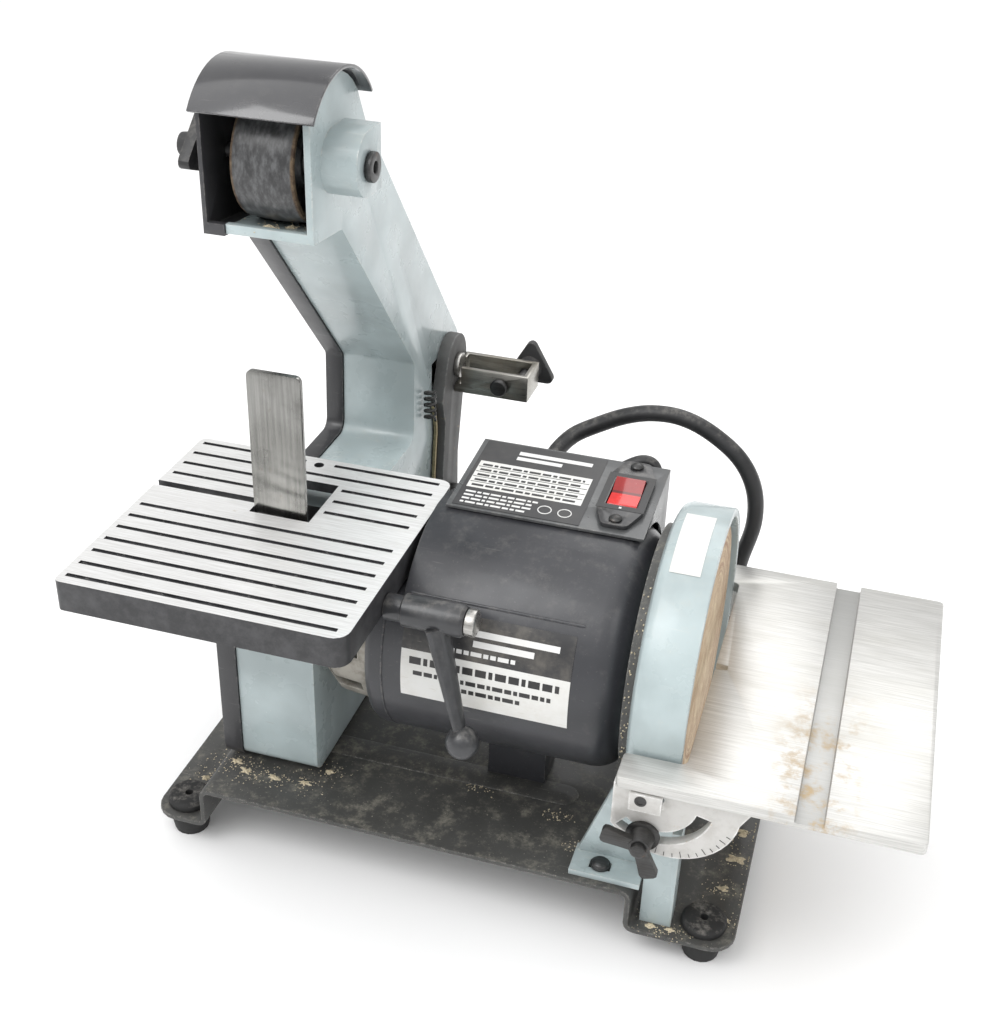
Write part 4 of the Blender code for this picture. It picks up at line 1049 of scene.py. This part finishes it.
@dataclass
class Studio:
    """Pale floor, soft lights and the camera at the front, above and to the right."""

    shop: Shop
    camera_place: Place = (50.3, -542.8, 394.9)
    azimuth: float = 15.88
    elevation: float = 30.64
    roll: float = 1.98
    lens: float = 50.4
    floor_reach: float = 60.0
    floor_colour: Colour = (0.95, 0.95, 0.95)
    world_strength: float = 0.72
    sun_towards: Place = (-0.3, -0.35, 1.0)
    sun_strength: float = 1.3
    sun_spread: float = 80.0
    aim: Place = (-80, 0, 0)
    lamps: tuple[tuple[str, Place, float, float], ...] = (
        ("key", (-460, -560, 860), 520, 3.4), ("fill", (560, -480, 640), 420, 1.0),
        ("back", (60, 700, 800), 700, 3.0))

    def build(self) -> None:
        """Make the camera, the world, the floor and the lights."""
        self.camera()
        self.world()
        self.floor()
        self.sun("daylight")
        for name, place, size_mm, watts in self.lamps:
            self.light(name, place, size_mm, watts)

    def camera(self) -> None:
        """Place the camera from its azimuth, elevation and roll."""
        a, e, r = (math.radians(v) for v in (self.azimuth, self.elevation, self.roll))
        back = Vector((math.sin(a) * math.cos(e), -math.cos(a) * math.cos(e), math.sin(e)))
        level = Vector((math.cos(a), math.sin(a), 0.0))
        above = back.cross(level)
        right = math.cos(r) * level + math.sin(r) * above
        up = math.cos(r) * above - math.sin(r) * level
        data = bpy.data.cameras.new("camera")
        data.lens = self.lens
        camera = linked("camera", data)
        place = self.shop.at(*self.camera_place)
        facing = Matrix((right, up, back)).transposed().to_4x4()
        camera.matrix_world = Matrix.Translation(place) @ facing
        bpy.context.scene.camera = camera

    def world(self) -> None:
        """Make an even pale surrounding light."""
        world = bpy.data.worlds.new("surroundings")
        world.use_nodes = True
        inputs = world.node_tree.nodes["Background"].inputs
        inputs["Color"].default_value = (1.0, 1.0, 1.0, 1.0)
        inputs["Strength"].default_value = self.world_strength
        bpy.context.scene.world = world
        bpy.context.scene.view_settings.view_transform = "Standard"

    def floor(self) -> None:
        """Make the pale floor that the feet stand on."""
        bm = bmesh.new()
        bmesh.ops.create_grid(bm, x_segments=8, y_segments=8, size=self.floor_reach / 2)
        mesh = bpy.data.meshes.new("floor")
        bm.to_mesh(mesh)
        bm.free()
        floor = linked("floor", mesh)
        graph = Graph("floor_paper")
        paler = tuple(min(1.0, c + 0.03) for c in self.floor_colour)
        tone = graph.mix(graph.noise(400, 3), self.floor_colour, paler)
        mesh.materials.append(graph.finish(Base_Color=tone, Roughness=0.9))

    @staticmethod
    def turn(lamp: bpy.types.Object, away: Vector) -> None:
        """Turn a lamp so that its back is towards a direction."""
        lamp.rotation_mode = "QUATERNION"
        lamp.rotation_quaternion = away.to_track_quat("Z", "Y")

    def sun(self, name: str) -> None:
        """Add the broad even light that comes from one side.

        Args:
            name: the lamp's name.
        """
        data = bpy.data.lights.new(name, "SUN")
        data.energy = self.sun_strength
        data.angle = math.radians(self.sun_spread)
        self.turn(linked(name, data), Vector(self.sun_towards))

    def light(self, name: str, place: Place, size_mm: float, watts: float) -> None:
        """Add a square soft light that faces the machine.

        Args:
            name: the lamp's name.
            place: where it hangs.
            size_mm: the length of its side.
            watts: its power.
        """
        data = bpy.data.lights.new(name, "AREA")
        data.size = size_mm * MM
        data.energy = watts
        lamp = linked(name, data)
        lamp.location = self.shop.at(*place)
        self.turn(lamp, lamp.location - self.shop.at(*self.aim))


@dataclass
class PowerCord:
    """Mains cord: up from its strain relief, over and down behind the disc, into a coil on the floor."""

    shop: Shop
    radius: float = 4.3
    length: float = 1800.0
    floor: float = -126.0
    coil: Flat = (-75.0, 202.0)
    coil_radius: float = 47.0
    spread: float = 4.5
    lead: float = 33.0
    lead_gap: float = 0.3
    lead_rise: float = 0.6
    turns: float = 4.5
    steps_per_turn: int = 56
    outwards: Flat = (300, 350)
    second_layer: Flat = (595, 650)
    third_layer: Flat = (890, 945)
    inwards: Flat = (1260, 1320)
    route: tuple[Place, ...] = (
        (-104.0, 76.6, 38.0), (-104.0, 86.5, 38.2), (-102.6, 98.0, 41.8), (-96.0, 107.5, 47.8),
        (-84.0, 111.8, 54.2), (-70.0, 112.2, 61.4), (-56.0, 112.0, 65.6), (-41.0, 112.0, 65.6),
        (-25.8, 112.0, 60.0), (-9.5, 112.0, 48.0), (0.0, 112.0, 32.0), (2.6, 112.0, 12.0),
        (-1.6, 112.5, -12.0), (-5.8, 114.0, -41.0), (-7.6, 118.5, -72.0), (-11.0, 130.0, -101.0),
        (-17.0, 146.0, -117.5), (-22.0, 160.0, -121.5), (-23.6, 169.3, -121.6))

    def cell(self, degrees: float) -> Flat:
        """Return a turn's place in the coil's section.

        Args:
            degrees: how far round the coil the place is, counted from its start.

        Returns:
            The place across from the section's middle, and its height over the floor.
        """
        wide, tall = 2 * self.spread, 2 * self.radius
        back = eased(degrees, *self.inwards)
        across = self.spread - wide * eased(degrees, *self.outwards) + wide * back
        climb = eased(degrees, *self.second_layer) + eased(degrees, *self.third_layer) - back
        return across, self.radius + 0.1 + climb * tall

    def coil_points(self, mean: float) -> list[Vector]:
        """Return the coil's centreline, with the straight run to the plug.

        Args:
            mean: the coil's mean radius.

        Returns:
            The places along it.
        """
        points = []
        steps = int(self.turns * self.steps_per_turn)
        for i in range(steps + 1):
            degrees = self.turns * 360 * i / steps
            across, up = self.cell(degrees)
            angle = math.radians(degrees)
            reach = mean + across
            points.append(Vector((self.coil[0] + reach * math.cos(angle),
                                  self.coil[1] + reach * math.sin(angle), self.floor + up)))
        last, steps = points[-1], 6
        for k in range(1, steps + 1):
            run = Vector((0, -(self.lead - self.lead_gap) * k / steps, self.lead_rise * k / steps))
            points.append(last + run)
        return points

    def centreline(self, mean: float) -> list[Vector]:
        """Return the whole cord's centreline.

        Args:
            mean: the coil's mean radius.

        Returns:
            The places along it.
        """
        free = through(self.route, 3.0)
        turns = self.coil_points(mean)
        join = through([tuple(free[-2]), tuple(free[-1]), tuple(turns[0]), tuple(turns[1])], 3.0)
        return free[:-2] + join[:-1] + turns[1:]

    @staticmethod
    def measure(points: Sequence[Vector]) -> float:
        """Return the length of a line of points."""
        return sum((b - a).length for a, b in zip(points, points[1:]))

    def build(self) -> None:
        """Make the cord at its real length, and dress its plug, tie and strain relief."""
        mean = self.coil_radius
        for _ in range(6):
            error = self.length - self.measure(self.centreline(mean))
            mean += error / (math.tau * self.turns)
        points = self.centreline(mean)
        log.info("cord: coil radius %.2f mm, length %.1f mm", mean, self.measure(points))
        shop = self.shop
        cord = shop.wire("power_cord", [shop.at(*p) for p in points], self.radius, CORD_RUBBER, "machine")
        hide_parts("cord", "cord_coil")
        start = shop.at(*points[0])
        shop.dress(CORD_RUBBER, "power_plug", "strain_relief", round_mm=0.4)
        shop.dress(KNOB_PLASTIC, "cord_tie", round_mm=0.3)


@dataclass
class Base:
    """Pressed base on rubber feet, with sawdust in its corners."""

    shop: Shop
    plate_z: float = -87.4
    bead_left: float = -232.0
    bead_right: float = -62.0
    bead_y: float = -14.5
    bead_half: float = 7.5
    bead_steps: tuple[Flat, ...] = ((0.0, -0.3), (0.3, 0.35), (1.6, 0.9))
    right_edge: float = 31.5
    heaps: tuple[tuple[float, float, float, float, int], ...] = (
        (-226, -44, -87.4, 6, 60), (-218, -49, -87.4, 7, 70), (-203, -49, -87.4, 5, 50),
        (-187, -48, -87.4, 6, 60), (-178, -36, -87.4, 5, 50), (-240, -34, -109.5, 6, 40),
        (-248, -38, -109.5, 5, 30), (-105, -22, -87.4, 3, 70), (-88, -16, -87.4, 3, 60),
        (-60, -30, -87.4, 2, 60), (-46, -48, -87.4, 2, 50), (26, -8, -109.5, 8, 60),
        (27, 12, -109.5, 8, 50), (22, -30, -109.5, 6, 60), (-6, -64, -109.5, 5, 50),
        (3, -64, -109.5, 4, 60), (27, -50, -109.5, 4, 40), (-206, -14, 187.1, 6, 40),
        (-197, -10, 186.7, 6, 40))

    def build(self) -> None:
        """Dress the base and its feet and strew the dust."""
        shop = self.shop
        shop.dress(BASE_ENAMEL, "base_plate", round_mm=0.7)
        shop.dress(FOOT_RUBBER, "front_left_foot", "front_right_foot", "rear_left_foot", "rear_right_foot")
        self.bead()
        self.dust()

    def bead(self) -> None:
        """Add the long pressed bead along the middle of the base's top."""
        left, right, mid, half = self.bead_left, self.bead_right, self.bead_y, self.bead_half
        outline = [(left, mid - half), (right, mid - half)]
        outline += [(right + half * math.cos(a), mid + half * math.sin(a))
                    for a in (math.radians(-90 + 15 * i) for i in range(1, 12))]
        outline += [(right, mid + half), (left, mid + half)]
        bm = bmesh.new()
        rows = []
        for inset, up in self.bead_steps:
            narrower = [(x, mid + (y - mid) * (half - inset) / half) for x, y in outline]
            rows.append([bm.verts.new(self.shop.at(x, y, self.plate_z + up)) for x, y in narrower])
        for a, b in zip(rows, rows[1:]):
            for i in range(len(outline)):
                j = (i + 1) % len(outline)
                bm.faces.new((a[i], a[j], b[j], b[i]))
        bm.faces.new(rows[-1])
        bm.faces.new(rows[0])
        self.shop.make("base_bead", bm, BASE_ENAMEL, "machine")

    def dust(self) -> None:
        """Strew small low heaps and loose crumbs of sawdust."""
        bm = bmesh.new()
        for x, y, level, spread, grains in self.heaps:
            if spread > 3:
                self.heap(bm, x, y, level, spread)
            self.crumbs(bm, x, y, level, spread + 3, grains)
        self.shop.make("sawdust_heaps", bm, HEAP, "machine")

    def heap(self, bm: bmesh.types.BMesh, x: float, y: float, level: float, spread: float) -> None:
        """Add one ragged low mound.

        Args:
            bm: the mesh that takes it.
            x: where its middle is.
            y: where its middle is.
            level: the height of the face under it.
            spread: about how wide it is.
        """
        rings, spokes = 5, 26
        previous: list[bmesh.types.BMVert] = []
        for ring in range(rings + 1):
            share = ring / rings
            row = []
            for k in range(spokes):
                angle = math.tau * k / spokes
                across, along = math.cos(angle), math.sin(angle)
                lump = noise.noise(Vector((0.3 * x + 1.6 * across, 0.3 * y + 1.6 * along, 0.7)))
                reach = 0.62 * spread * (0.8 + 0.9 * lump) * (1 - share)
                up = 1.1 * share ** 0.8 * (1 + 0.6 * noise.noise(Vector((reach, angle * 3, x))))
                place = self.shop.at(x + reach * across, y + 0.6 * reach * along, level + 0.03 + up)
                row.append(bm.verts.new(place))
            for k in range(spokes if previous else 0):
                bm.faces.new((previous[k], previous[(k + 1) % spokes], row[(k + 1) % spokes], row[k]))
            previous = row
        bmesh.ops.remove_doubles(bm, verts=previous, dist=0.00001)

    def crumbs(self, bm: bmesh.types.BMesh, x: float, y: float, level: float, spread: float,
               grains: int) -> None:
        """Add loose grains scattered over and around a mound.

        Args:
            bm: the mesh that takes them.
            x: the mound's middle.
            y: the mound's middle.
            level: the height of the face under them.
            spread: about how far they lie from the middle.
            grains: how many there are.
        """
        dice = Random(round(100 * x + y))
        for _ in range(grains):
            size = dice.uniform(0.15, 0.5)
            across = max(-1.6, min(1.6, dice.gauss(0, 0.8))) * spread
            along = max(-1.0, min(1.0, dice.gauss(0, 0.45))) * spread
            place = self.shop.at(min(self.right_edge, x + across), y + along, level + 0.35 * size)
            turn = Matrix.Rotation(dice.uniform(0, math.tau), 4, "Z")
            shape = Matrix.Diagonal((size * MM, 0.7 * size * MM, 0.5 * size * MM, 1.0))
            pellet(bm, Matrix.Translation(place) @ turn @ shape)


@dataclass
class Motor:
    """Motor shell with its vented end, its rating label and the pieces inside."""

    shop: Shop
    radius: float = 58.5
    left: float = -150.0
    right: float = -30.0
    crease_deg: float = 40.0
    label_left: float = -131.5
    label_right: float = -53.5
    label_low: float = -9.0
    label_high: float = 35.0
    shade_band_gap: float = 0.3
    shade_band_width: float = 4.4
    band_grains: int = 46

    def round(self, radius: float) -> Surface:
        """Return the shell's surface, or one near it.

        Args:
            radius: the surface's radius.

        Returns:
            What gives a place from X and from degrees round the shell, counted up from its front.
        """
        def place(x: float, degrees: float) -> Vector:
            """Return a place on the surface."""
            angle = math.radians(degrees)
            return self.shop.at(x, -radius * math.cos(angle), radius * math.sin(angle))
        return place

    def build(self) -> None:
        """Dress the motor's nodes and add seams, the label and the dark ring of painted shade at its right
        end.
        """
        shop = self.shop
        shop.dress(BLACK_ENAMEL, "motor_housing", "motor_foot", round_mm=0.8)
        shop.dress(CAST_ALUMINIUM, "motor_end_bell", "motor_end_plate", round_mm=0.8)
        shop.dress(DARK_STEEL, "stator", round_mm=0.3)
        shop.dress(BRIGHT_STEEL, "rotor", "motor_shaft", "left_bearing", "right_bearing", round_mm=0.2)
        shop.dress(KNOB_PLASTIC, "cooling_fan", round_mm=0.2)
        shop.dress(TURNED_ALUMINIUM, "drive_wheel", round_mm=0.3)
        self.seams()
        self.label()
        self.gap_shade_ring()

    def gap_shade_ring(self) -> None:
        """Add a dark ring, painted shade, in the gap between the shell's right end and the guard, with
        sawdust grains on it.
        """
        # Painted shade: a ring of black paint fills the gap, where only shade is.
        near, far = self.radius - 1.5, self.radius + 1.6
        start = self.right + self.shade_band_gap
        end = start + self.shade_band_width
        profile = [(near, start), (far, start), (far, end), (near, end)]
        self.shop.lathe("gap_shade_band", profile, Vector((1, 0, 0)), self.shop.at(0, 0, 0), BASE_ENAMEL,
                        "machine", 72)
        dice = Random(7)
        bm = bmesh.new()
        for _ in range(self.band_grains):
            place = self.round(far)(self.right + dice.uniform(0.8, 4.2), dice.uniform(-25, 62))
            wide, long = dice.uniform(0.2, 0.5), dice.uniform(0.3, 0.9)
            shape = Matrix.Diagonal((wide * MM, long * MM, 0.4 * MM, 1.0))
            pellet(bm, Matrix.Translation(place) @ shape)
        self.shop.make("gap_grains", bm, HEAP, "machine")

    def seams(self) -> None:
        """Add the rolled lip near the shell's left end and the pressed crease along its front."""
        lip = [self.round(self.radius - 0.1)(self.left + 9, d) for d in range(-215, 36, 4)]
        self.shop.wire("shell_lip", lip, 0.55, BLACK_ENAMEL, "machine")
        run = self.round(self.radius - 0.25)
        crease = [run(x, self.crease_deg) for x in range(-131, -50, 4)]
        self.shop.wire("shell_crease", crease, 0.8, BLACK_ENAMEL, "machine")

    def label(self) -> None:
        """Add the label: a grey and a pale field with rows of dashes, and no words."""
        surface = self.round(self.radius)
        left, right, low, high = self.label_left, self.label_right, self.label_low, self.label_high
        middle = low + 0.55 * (high - low)
        sheet = self.shop.sheet
        sheet("label_film", surface, [(left, right, low, middle)], 0.22, PLATE_PALE, "machine", 16)
        sheet("label_band", surface, [(left, right, middle, high)], 0.22, FILM_GREY, "machine", 16)
        top = middle + 0.34 * (high - middle)
        blocks = [(-99.0, -60.0, top + 4.6, top + 7.4), (-99.0, -71.0, top, top + 2.8)]
        blocks += dashes(-112, -78, middle + 2.6, 1.9, 3, 0.9, 5.0)
        sheet("label_blocks", surface, blocks, 0.34, INK_PALE, "machine", 4)
        rows = []
        for start, end, drop, height, seed, gap, longest in (
                (4, 4, 6.6, 3.4, 1, 1.2, 6.0), (6, 8, 12.0, 2.1, 5, 0.9, 5.0),
                (20, 22, 16.6, 2.1, 8, 0.9, 5.0)):
            rows += dashes(left + start, right - end, middle - drop, height, seed, gap, longest)
        sheet("label_dashes", surface, rows, 0.34, INK_BLACK, "machine", 3)


@dataclass
class ControlBox:
    """Box on the motor's shoulder with its plate, the switch and its bezel."""

    shop: Shop
    left: float = -129.5
    right: float = -36.0
    front: float = -3.0
    rear: float = 58.0
    top_front: float = 60.5
    top_rear: float = 64.5
    switch: Flat = (-51.2, 28.5)
    sleeve: tuple[Place, ...] = ((-68, 57, 53), (-60, 61, 59), (-51.5, 64, 63), (-45.5, 64.5, 61.5),
                                 (-43, 63, 54), (-43, 58, 47))
    sleeve_radius: float = 3.2
    ring_radius: float = 3.1
    ring_places: Flat = (42.5, 52.0)

    def top(self, x: float, y: float) -> Vector:
        """Return a place on the sloping top."""
        share = (y - self.front) / (self.rear - self.front)
        return self.shop.at(x, y, self.top_front + share * (self.top_rear - self.top_front))

    def build(self) -> None:
        """Dress the box and the switch and add the plate."""
        shop = self.shop
        shop.dress(BOX_ENAMEL, "control_box", round_mm=0.9)
        shop.dress(BEZEL_PLASTIC, "switch_bezel", round_mm=0.35)
        shop.dress(DARK_STEEL, "front_bezel_screw", "rear_bezel_screw", round_mm=0.2)
        red = Glaze("rocker_red", Slot.RED_PLASTIC, middle_y=shop.at(0, self.switch[1], 0).y)
        shop.dress(red, "rocker_switch", round_mm=0.6)
        self.switch_shade_frame()
        self.plate()
        self.elbow()

    def switch_shade_frame(self) -> None:
        """Add black strips of painted shade round the rocker, on the bezel, and the white dot in front of
        it.
        """
        x, y = self.switch
        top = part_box("switch_bezel")[1].z
        lift = (top - self.top(x, y + 27.5).z) / MM - 0.1
        # Painted shade: black strips laid on the bezel round the rocker's window.
        wide, long, rim = 8.0, 12.0, 3.2
        strips = [(x - wide - rim, x - wide, y - long - rim, y + long + rim),
                  (x + wide, x + wide + rim, y - long - rim, y + long + rim),
                  (x - wide, x + wide, y - long - rim, y - long),
                  (x - wide, x + wide, y + long, y + long + rim)]
        self.shop.sheet("switch_shade_frame", self.top, strips, lift + 0.25, INK_BLACK, "machine")
        dot = (x - 0.6, x + 0.6, y - long - 2.2, y - long - 1.0)
        self.shop.sheet("switch_dot", self.top, [dot], lift + 0.4, INK_PALE, "machine")

    def elbow(self) -> None:
        """Add the sleeve that takes the switch leads from the box's rear into the motor."""
        line = [self.shop.at(*p) for p in through(self.sleeve, 1.5)]
        self.shop.wire("lead_sleeve", line, self.sleeve_radius, CORD_RUBBER, "machine")

    def plate(self) -> None:
        """Add the plate: black with a pale field, rows of dashes and two rings, and no words."""
        sheet = self.shop.sheet
        left, right, low, high = self.left + 2.5, self.right - 30.5, self.front + 1.5, self.rear - 1.5
        sheet("plate_back", self.top, [(left, right, low, high)], 0.25, PLATE_BLACK, "machine")
        field_low, field_high = low + 15.5, low + 39.0
        field = (left + 2, right - 3, field_low, field_high)
        sheet("plate_field", self.top, [field], 0.37, PLATE_PALE, "machine")
        pale = [(left + 18, right - 6, high - 8.8, high - 5.8),
                (left + 18, right - 20, high - 13.4, high - 10.6)]
        for end, rise, seed in ((38, 11.2, 2), (36, 8.2, 4), (37, 5.2, 6), (34, 2.2, 9)):
            pale += dashes(left + 3, left + end, low + rise, 1.3, seed, 0.8, 5.0)
        sheet("plate_pale_print", self.top, pale, 0.37, INK_PALE, "machine")
        dark, pitch = [], 4.5
        for k in range(5):
            dark += dashes(left + 4, right - 6, field_high - 4.0 - pitch * k, 1.5, k, 1.0, 6.0)
        dark += [(left + 2.5, right - 3.5, field_high - 5.3 - pitch * k, field_high - 5.0 - pitch * k)
                 for k in range(4)]
        sheet("plate_dark_print", self.top, dark, 0.49, INK_BLACK, "machine")
        lift, radius = Vector((0, 0, 0.3 * MM)), self.ring_radius
        for k, place in enumerate(self.ring_places):
            turns = [math.tau * i / 28 for i in range(28)]
            ring = [self.top(left + place + radius * math.cos(a), low + 7.2 + radius * math.sin(a)) + lift
                    for a in turns]
            self.shop.wire(f"plate_ring_{k + 1}", ring, 0.28, INK_PALE, "machine", closed=True)



@dataclass
class BeltHousing:
    """Belt housing, its cover, hood, wheels, platen and knobs."""

    shop: Shop
    wheel_x: float = -203.0

    def build(self) -> None:
        """Dress the housing's nodes."""
        shop = self.shop
        shop.dress(MACHINE_ENAMEL, "belt_frame", round_mm=0.9)
        shop.dress(COVER_ENAMEL, "side_cover", round_mm=0.8)
        shop.dress(HOOD_ENAMEL, "wheel_hood", round_mm=0.4)
        shop.dress(KNOB_PLASTIC, "upper_cover_knob", "lower_cover_knob", round_mm=0.7)
        tyre = RubberTyre("wheel_tyre", Slot.DARK_STEEL, centre_x=shop.at(self.wheel_x, 0, 0).x)
        shop.dress(tyre, "upper_wheel", "idler_wheel", round_mm=0.3)
        shop.dress(BRIGHT_STEEL, "upper_wheel_bearing", round_mm=0.2)
        shop.dress(DARK_STEEL, "upper_axle", "platen_bracket", round_mm=0.4)
        shop.dress(PLATEN_STEEL, "platen", round_mm=0.5)


@dataclass
class TensionGear:
    """Tension arm with its idler, tracking bracket, knob and spring."""

    shop: Shop
    strip_x: float = -180.2
    strip_radius: float = 1.2
    front_edge: tuple[Flat, ...] = ((128.0, -16.0), (128.6, -3.0), (130.5, 15.0), (131.6, 27.0),
                                    (127.0, 42.0))

    def build(self) -> None:
        """Dress the tension gear."""
        shop = self.shop
        shop.dress(ARM_CASTING, "tension_arm", round_mm=0.7)
        shop.dress(BRACKET_STEEL, "tracking_bracket", round_mm=0.5)
        shop.dress(BRIGHT_STEEL, "idler_axle", round_mm=0.4)
        shop.dress(DARK_STEEL, "tracking_bolt", "arm_pivot_bolt", round_mm=0.5)
        shop.dress(DARK_STEEL, "tension_spring", round_mm=0.0, angle=60)
        shop.dress(KNOB_PLASTIC, "tracking_knob", round_mm=0.7)
        edge = through([(self.strip_x, y - 1.4, z) for y, z in self.front_edge], 2.0)
        shop.wire("arm_edge_strip", [shop.at(*p) for p in edge], self.strip_radius, BRASS, "tensioner")


@dataclass
class BeltTable:
    """Grooved tilting table, its bracket and the lever that locks it."""

    shop: Shop

    def build(self) -> None:
        """Dress the table's nodes."""
        shop = self.shop
        top = TopAndSides("table_top_and_sides", Slot.ALUMINIUM, top_z=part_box("belt_table")[1].z)
        shop.dress(top, "belt_table", round_mm=0.0, flatten=False)
        shop.dress(DARK_STEEL, "table_bracket", round_mm=0.5)
        shop.dress(BRIGHT_STEEL, "pivot_stud", round_mm=0.4)
        shop.dress(LEVER_PLASTIC, "lock_lever", round_mm=0.5)


@dataclass
class DiscSide:
    """Disc, its guard and the stands under it."""

    shop: Shop
    guard_radius: float = 72.0
    stud: Flat = (-11.0, -33.0)
    stud_profile: tuple[Flat, ...] = ((0.0, 0.5), (2.2, 0.3), (3.4, -0.5), (3.4, -4.0), (0.0, -4.0))
    sticker: Patch = (-19.5, -6.0, 64, 96)

    def build(self) -> None:
        """Dress the disc side's nodes and add the guard's blank label."""
        shop = self.shop
        shop.dress(MACHINE_ENAMEL, "disc_guard", "disc_stand", "rear_disc_stand", round_mm=0.8)
        shop.dress(TURNED_ALUMINIUM, "disc_plate", round_mm=0.3)
        grit = WornGrit("worn_grit", Slot.ABRASIVE, centre=tuple(shop.at(0, 0, 0)))
        shop.dress(grit, "abrasive_disc", round_mm=0.1)
        shop.dress(DARK_STEEL, "front_stand_screw", "rear_stand_screw", round_mm=0.3)
        self.label()
        self.stud_tip()

    def stud_tip(self) -> None:
        """Add the bare steel end of the stud that carries the wing nut."""
        x, z = self.stud
        tip = self.shop.at(x, 0, z)
        tip.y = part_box("disc_stand")[0].y
        self.shop.lathe("stud_tip", self.stud_profile, Vector((0, -1, 0)), tip, DARK_STEEL, "machine", 24)

    def label(self) -> None:
        """Add the blank pale sticker on the guard's upper front."""
        radius = self.guard_radius

        def band(x: float, degrees: float) -> Vector:
            """Return a place on the guard's round outside."""
            angle = math.radians(degrees)
            return self.shop.at(x, -radius * math.cos(angle), radius * math.sin(angle))

        self.shop.sheet("guard_sticker", band, [self.sticker], 0.2, PLATE_PALE, "machine", 16)


@dataclass
class DiscTable:
    """Tilting table beside the disc, with its scale and its wing nut."""

    shop: Shop
    scale_centre: Flat = (-1.0, -13.0)
    scale_radius: float = 29.2
    scale_start: float = -98.0
    scale_pitch: float = 7.4
    face_y: float = -87.0
    slot_x: float = 55.9
    screw: Flat = (-13.0, -11.8)
    screw_profile: tuple[Flat, ...] = ((2.6, 0.3), (2.6, -1.5), (0.0, -1.5), (0.0, 0.06), (1.6, 0.06),
                                       (1.6, 0.3))

    def build(self) -> None:
        """Dress the table and its trunnions and add the scale's marks."""
        shop = self.shop
        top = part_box("disc_table")[1].z
        slot = shop.at(self.slot_x, 0, 0).x
        table = SlottedTable("slotted_table", Slot.ALUMINIUM, top_z=top, slot_x=slot)
        shop.dress(table, "disc_table", round_mm=0.5)
        shop.dress(PALE_ALUMINIUM, "front_trunnion", "rear_trunnion", round_mm=0.5)
        shop.dress(DARK_STEEL, "wing_nut", round_mm=0.7)
        self.scale()
        self.set_screw()

    def set_screw(self) -> None:
        """Add the socket screw in the front trunnion's block."""
        x, z = self.screw
        place = self.shop.at(x, 0, z)
        place.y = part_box("front_trunnion")[0].y
        self.shop.lathe("set_screw", self.screw_profile, Vector((0, -1, 0)), place, DARK_STEEL,
                        "disc_side_table", 24)

    def scale(self) -> None:
        """Add the tilt scale's tick marks on the front trunnion, every third one longer."""
        bm = bmesh.new()
        for k in range(11):
            angle = math.radians(self.scale_start + self.scale_pitch * k)
            inner = self.scale_radius - (3.2 if k % 3 == 0 else 2.0)
            spoke = Vector((math.cos(angle), 0, math.sin(angle)))
            start = self.shop.at(self.scale_centre[0], self.face_y - 0.05, self.scale_centre[1])
            middle = start + spoke * (inner + self.scale_radius) / 2 * MM
            length = self.scale_radius - inner
            size = Matrix.Diagonal((length * MM, 0.2 * MM, 0.28 * MM, 1.0))
            turn = Matrix.Rotation(-angle, 4, "Y")
            bmesh.ops.create_cube(bm, size=1.0, matrix=Matrix.Translation(middle) @ turn @ size)
        self.shop.make("tilt_scale_marks", bm, INK_BLACK, "disc_side_table", smooth=False)


# ------------------------------------------------------------------ main

def main() -> None:
    """Build the machine's looks on its frame."""
    logging.basicConfig(level=logging.INFO, format="%(name)s: %(message)s")
    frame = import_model()
    shop = Shop(frame)
    Studio(shop).build()
    for maker in (PowerCord, Base, Motor, ControlBox, BeltHousing, TensionGear, BeltTable, DiscSide,
                  DiscTable):
        maker(shop).build()
        log.info("%s is done", maker.__name__)


if __name__ == "__main__":
    main()
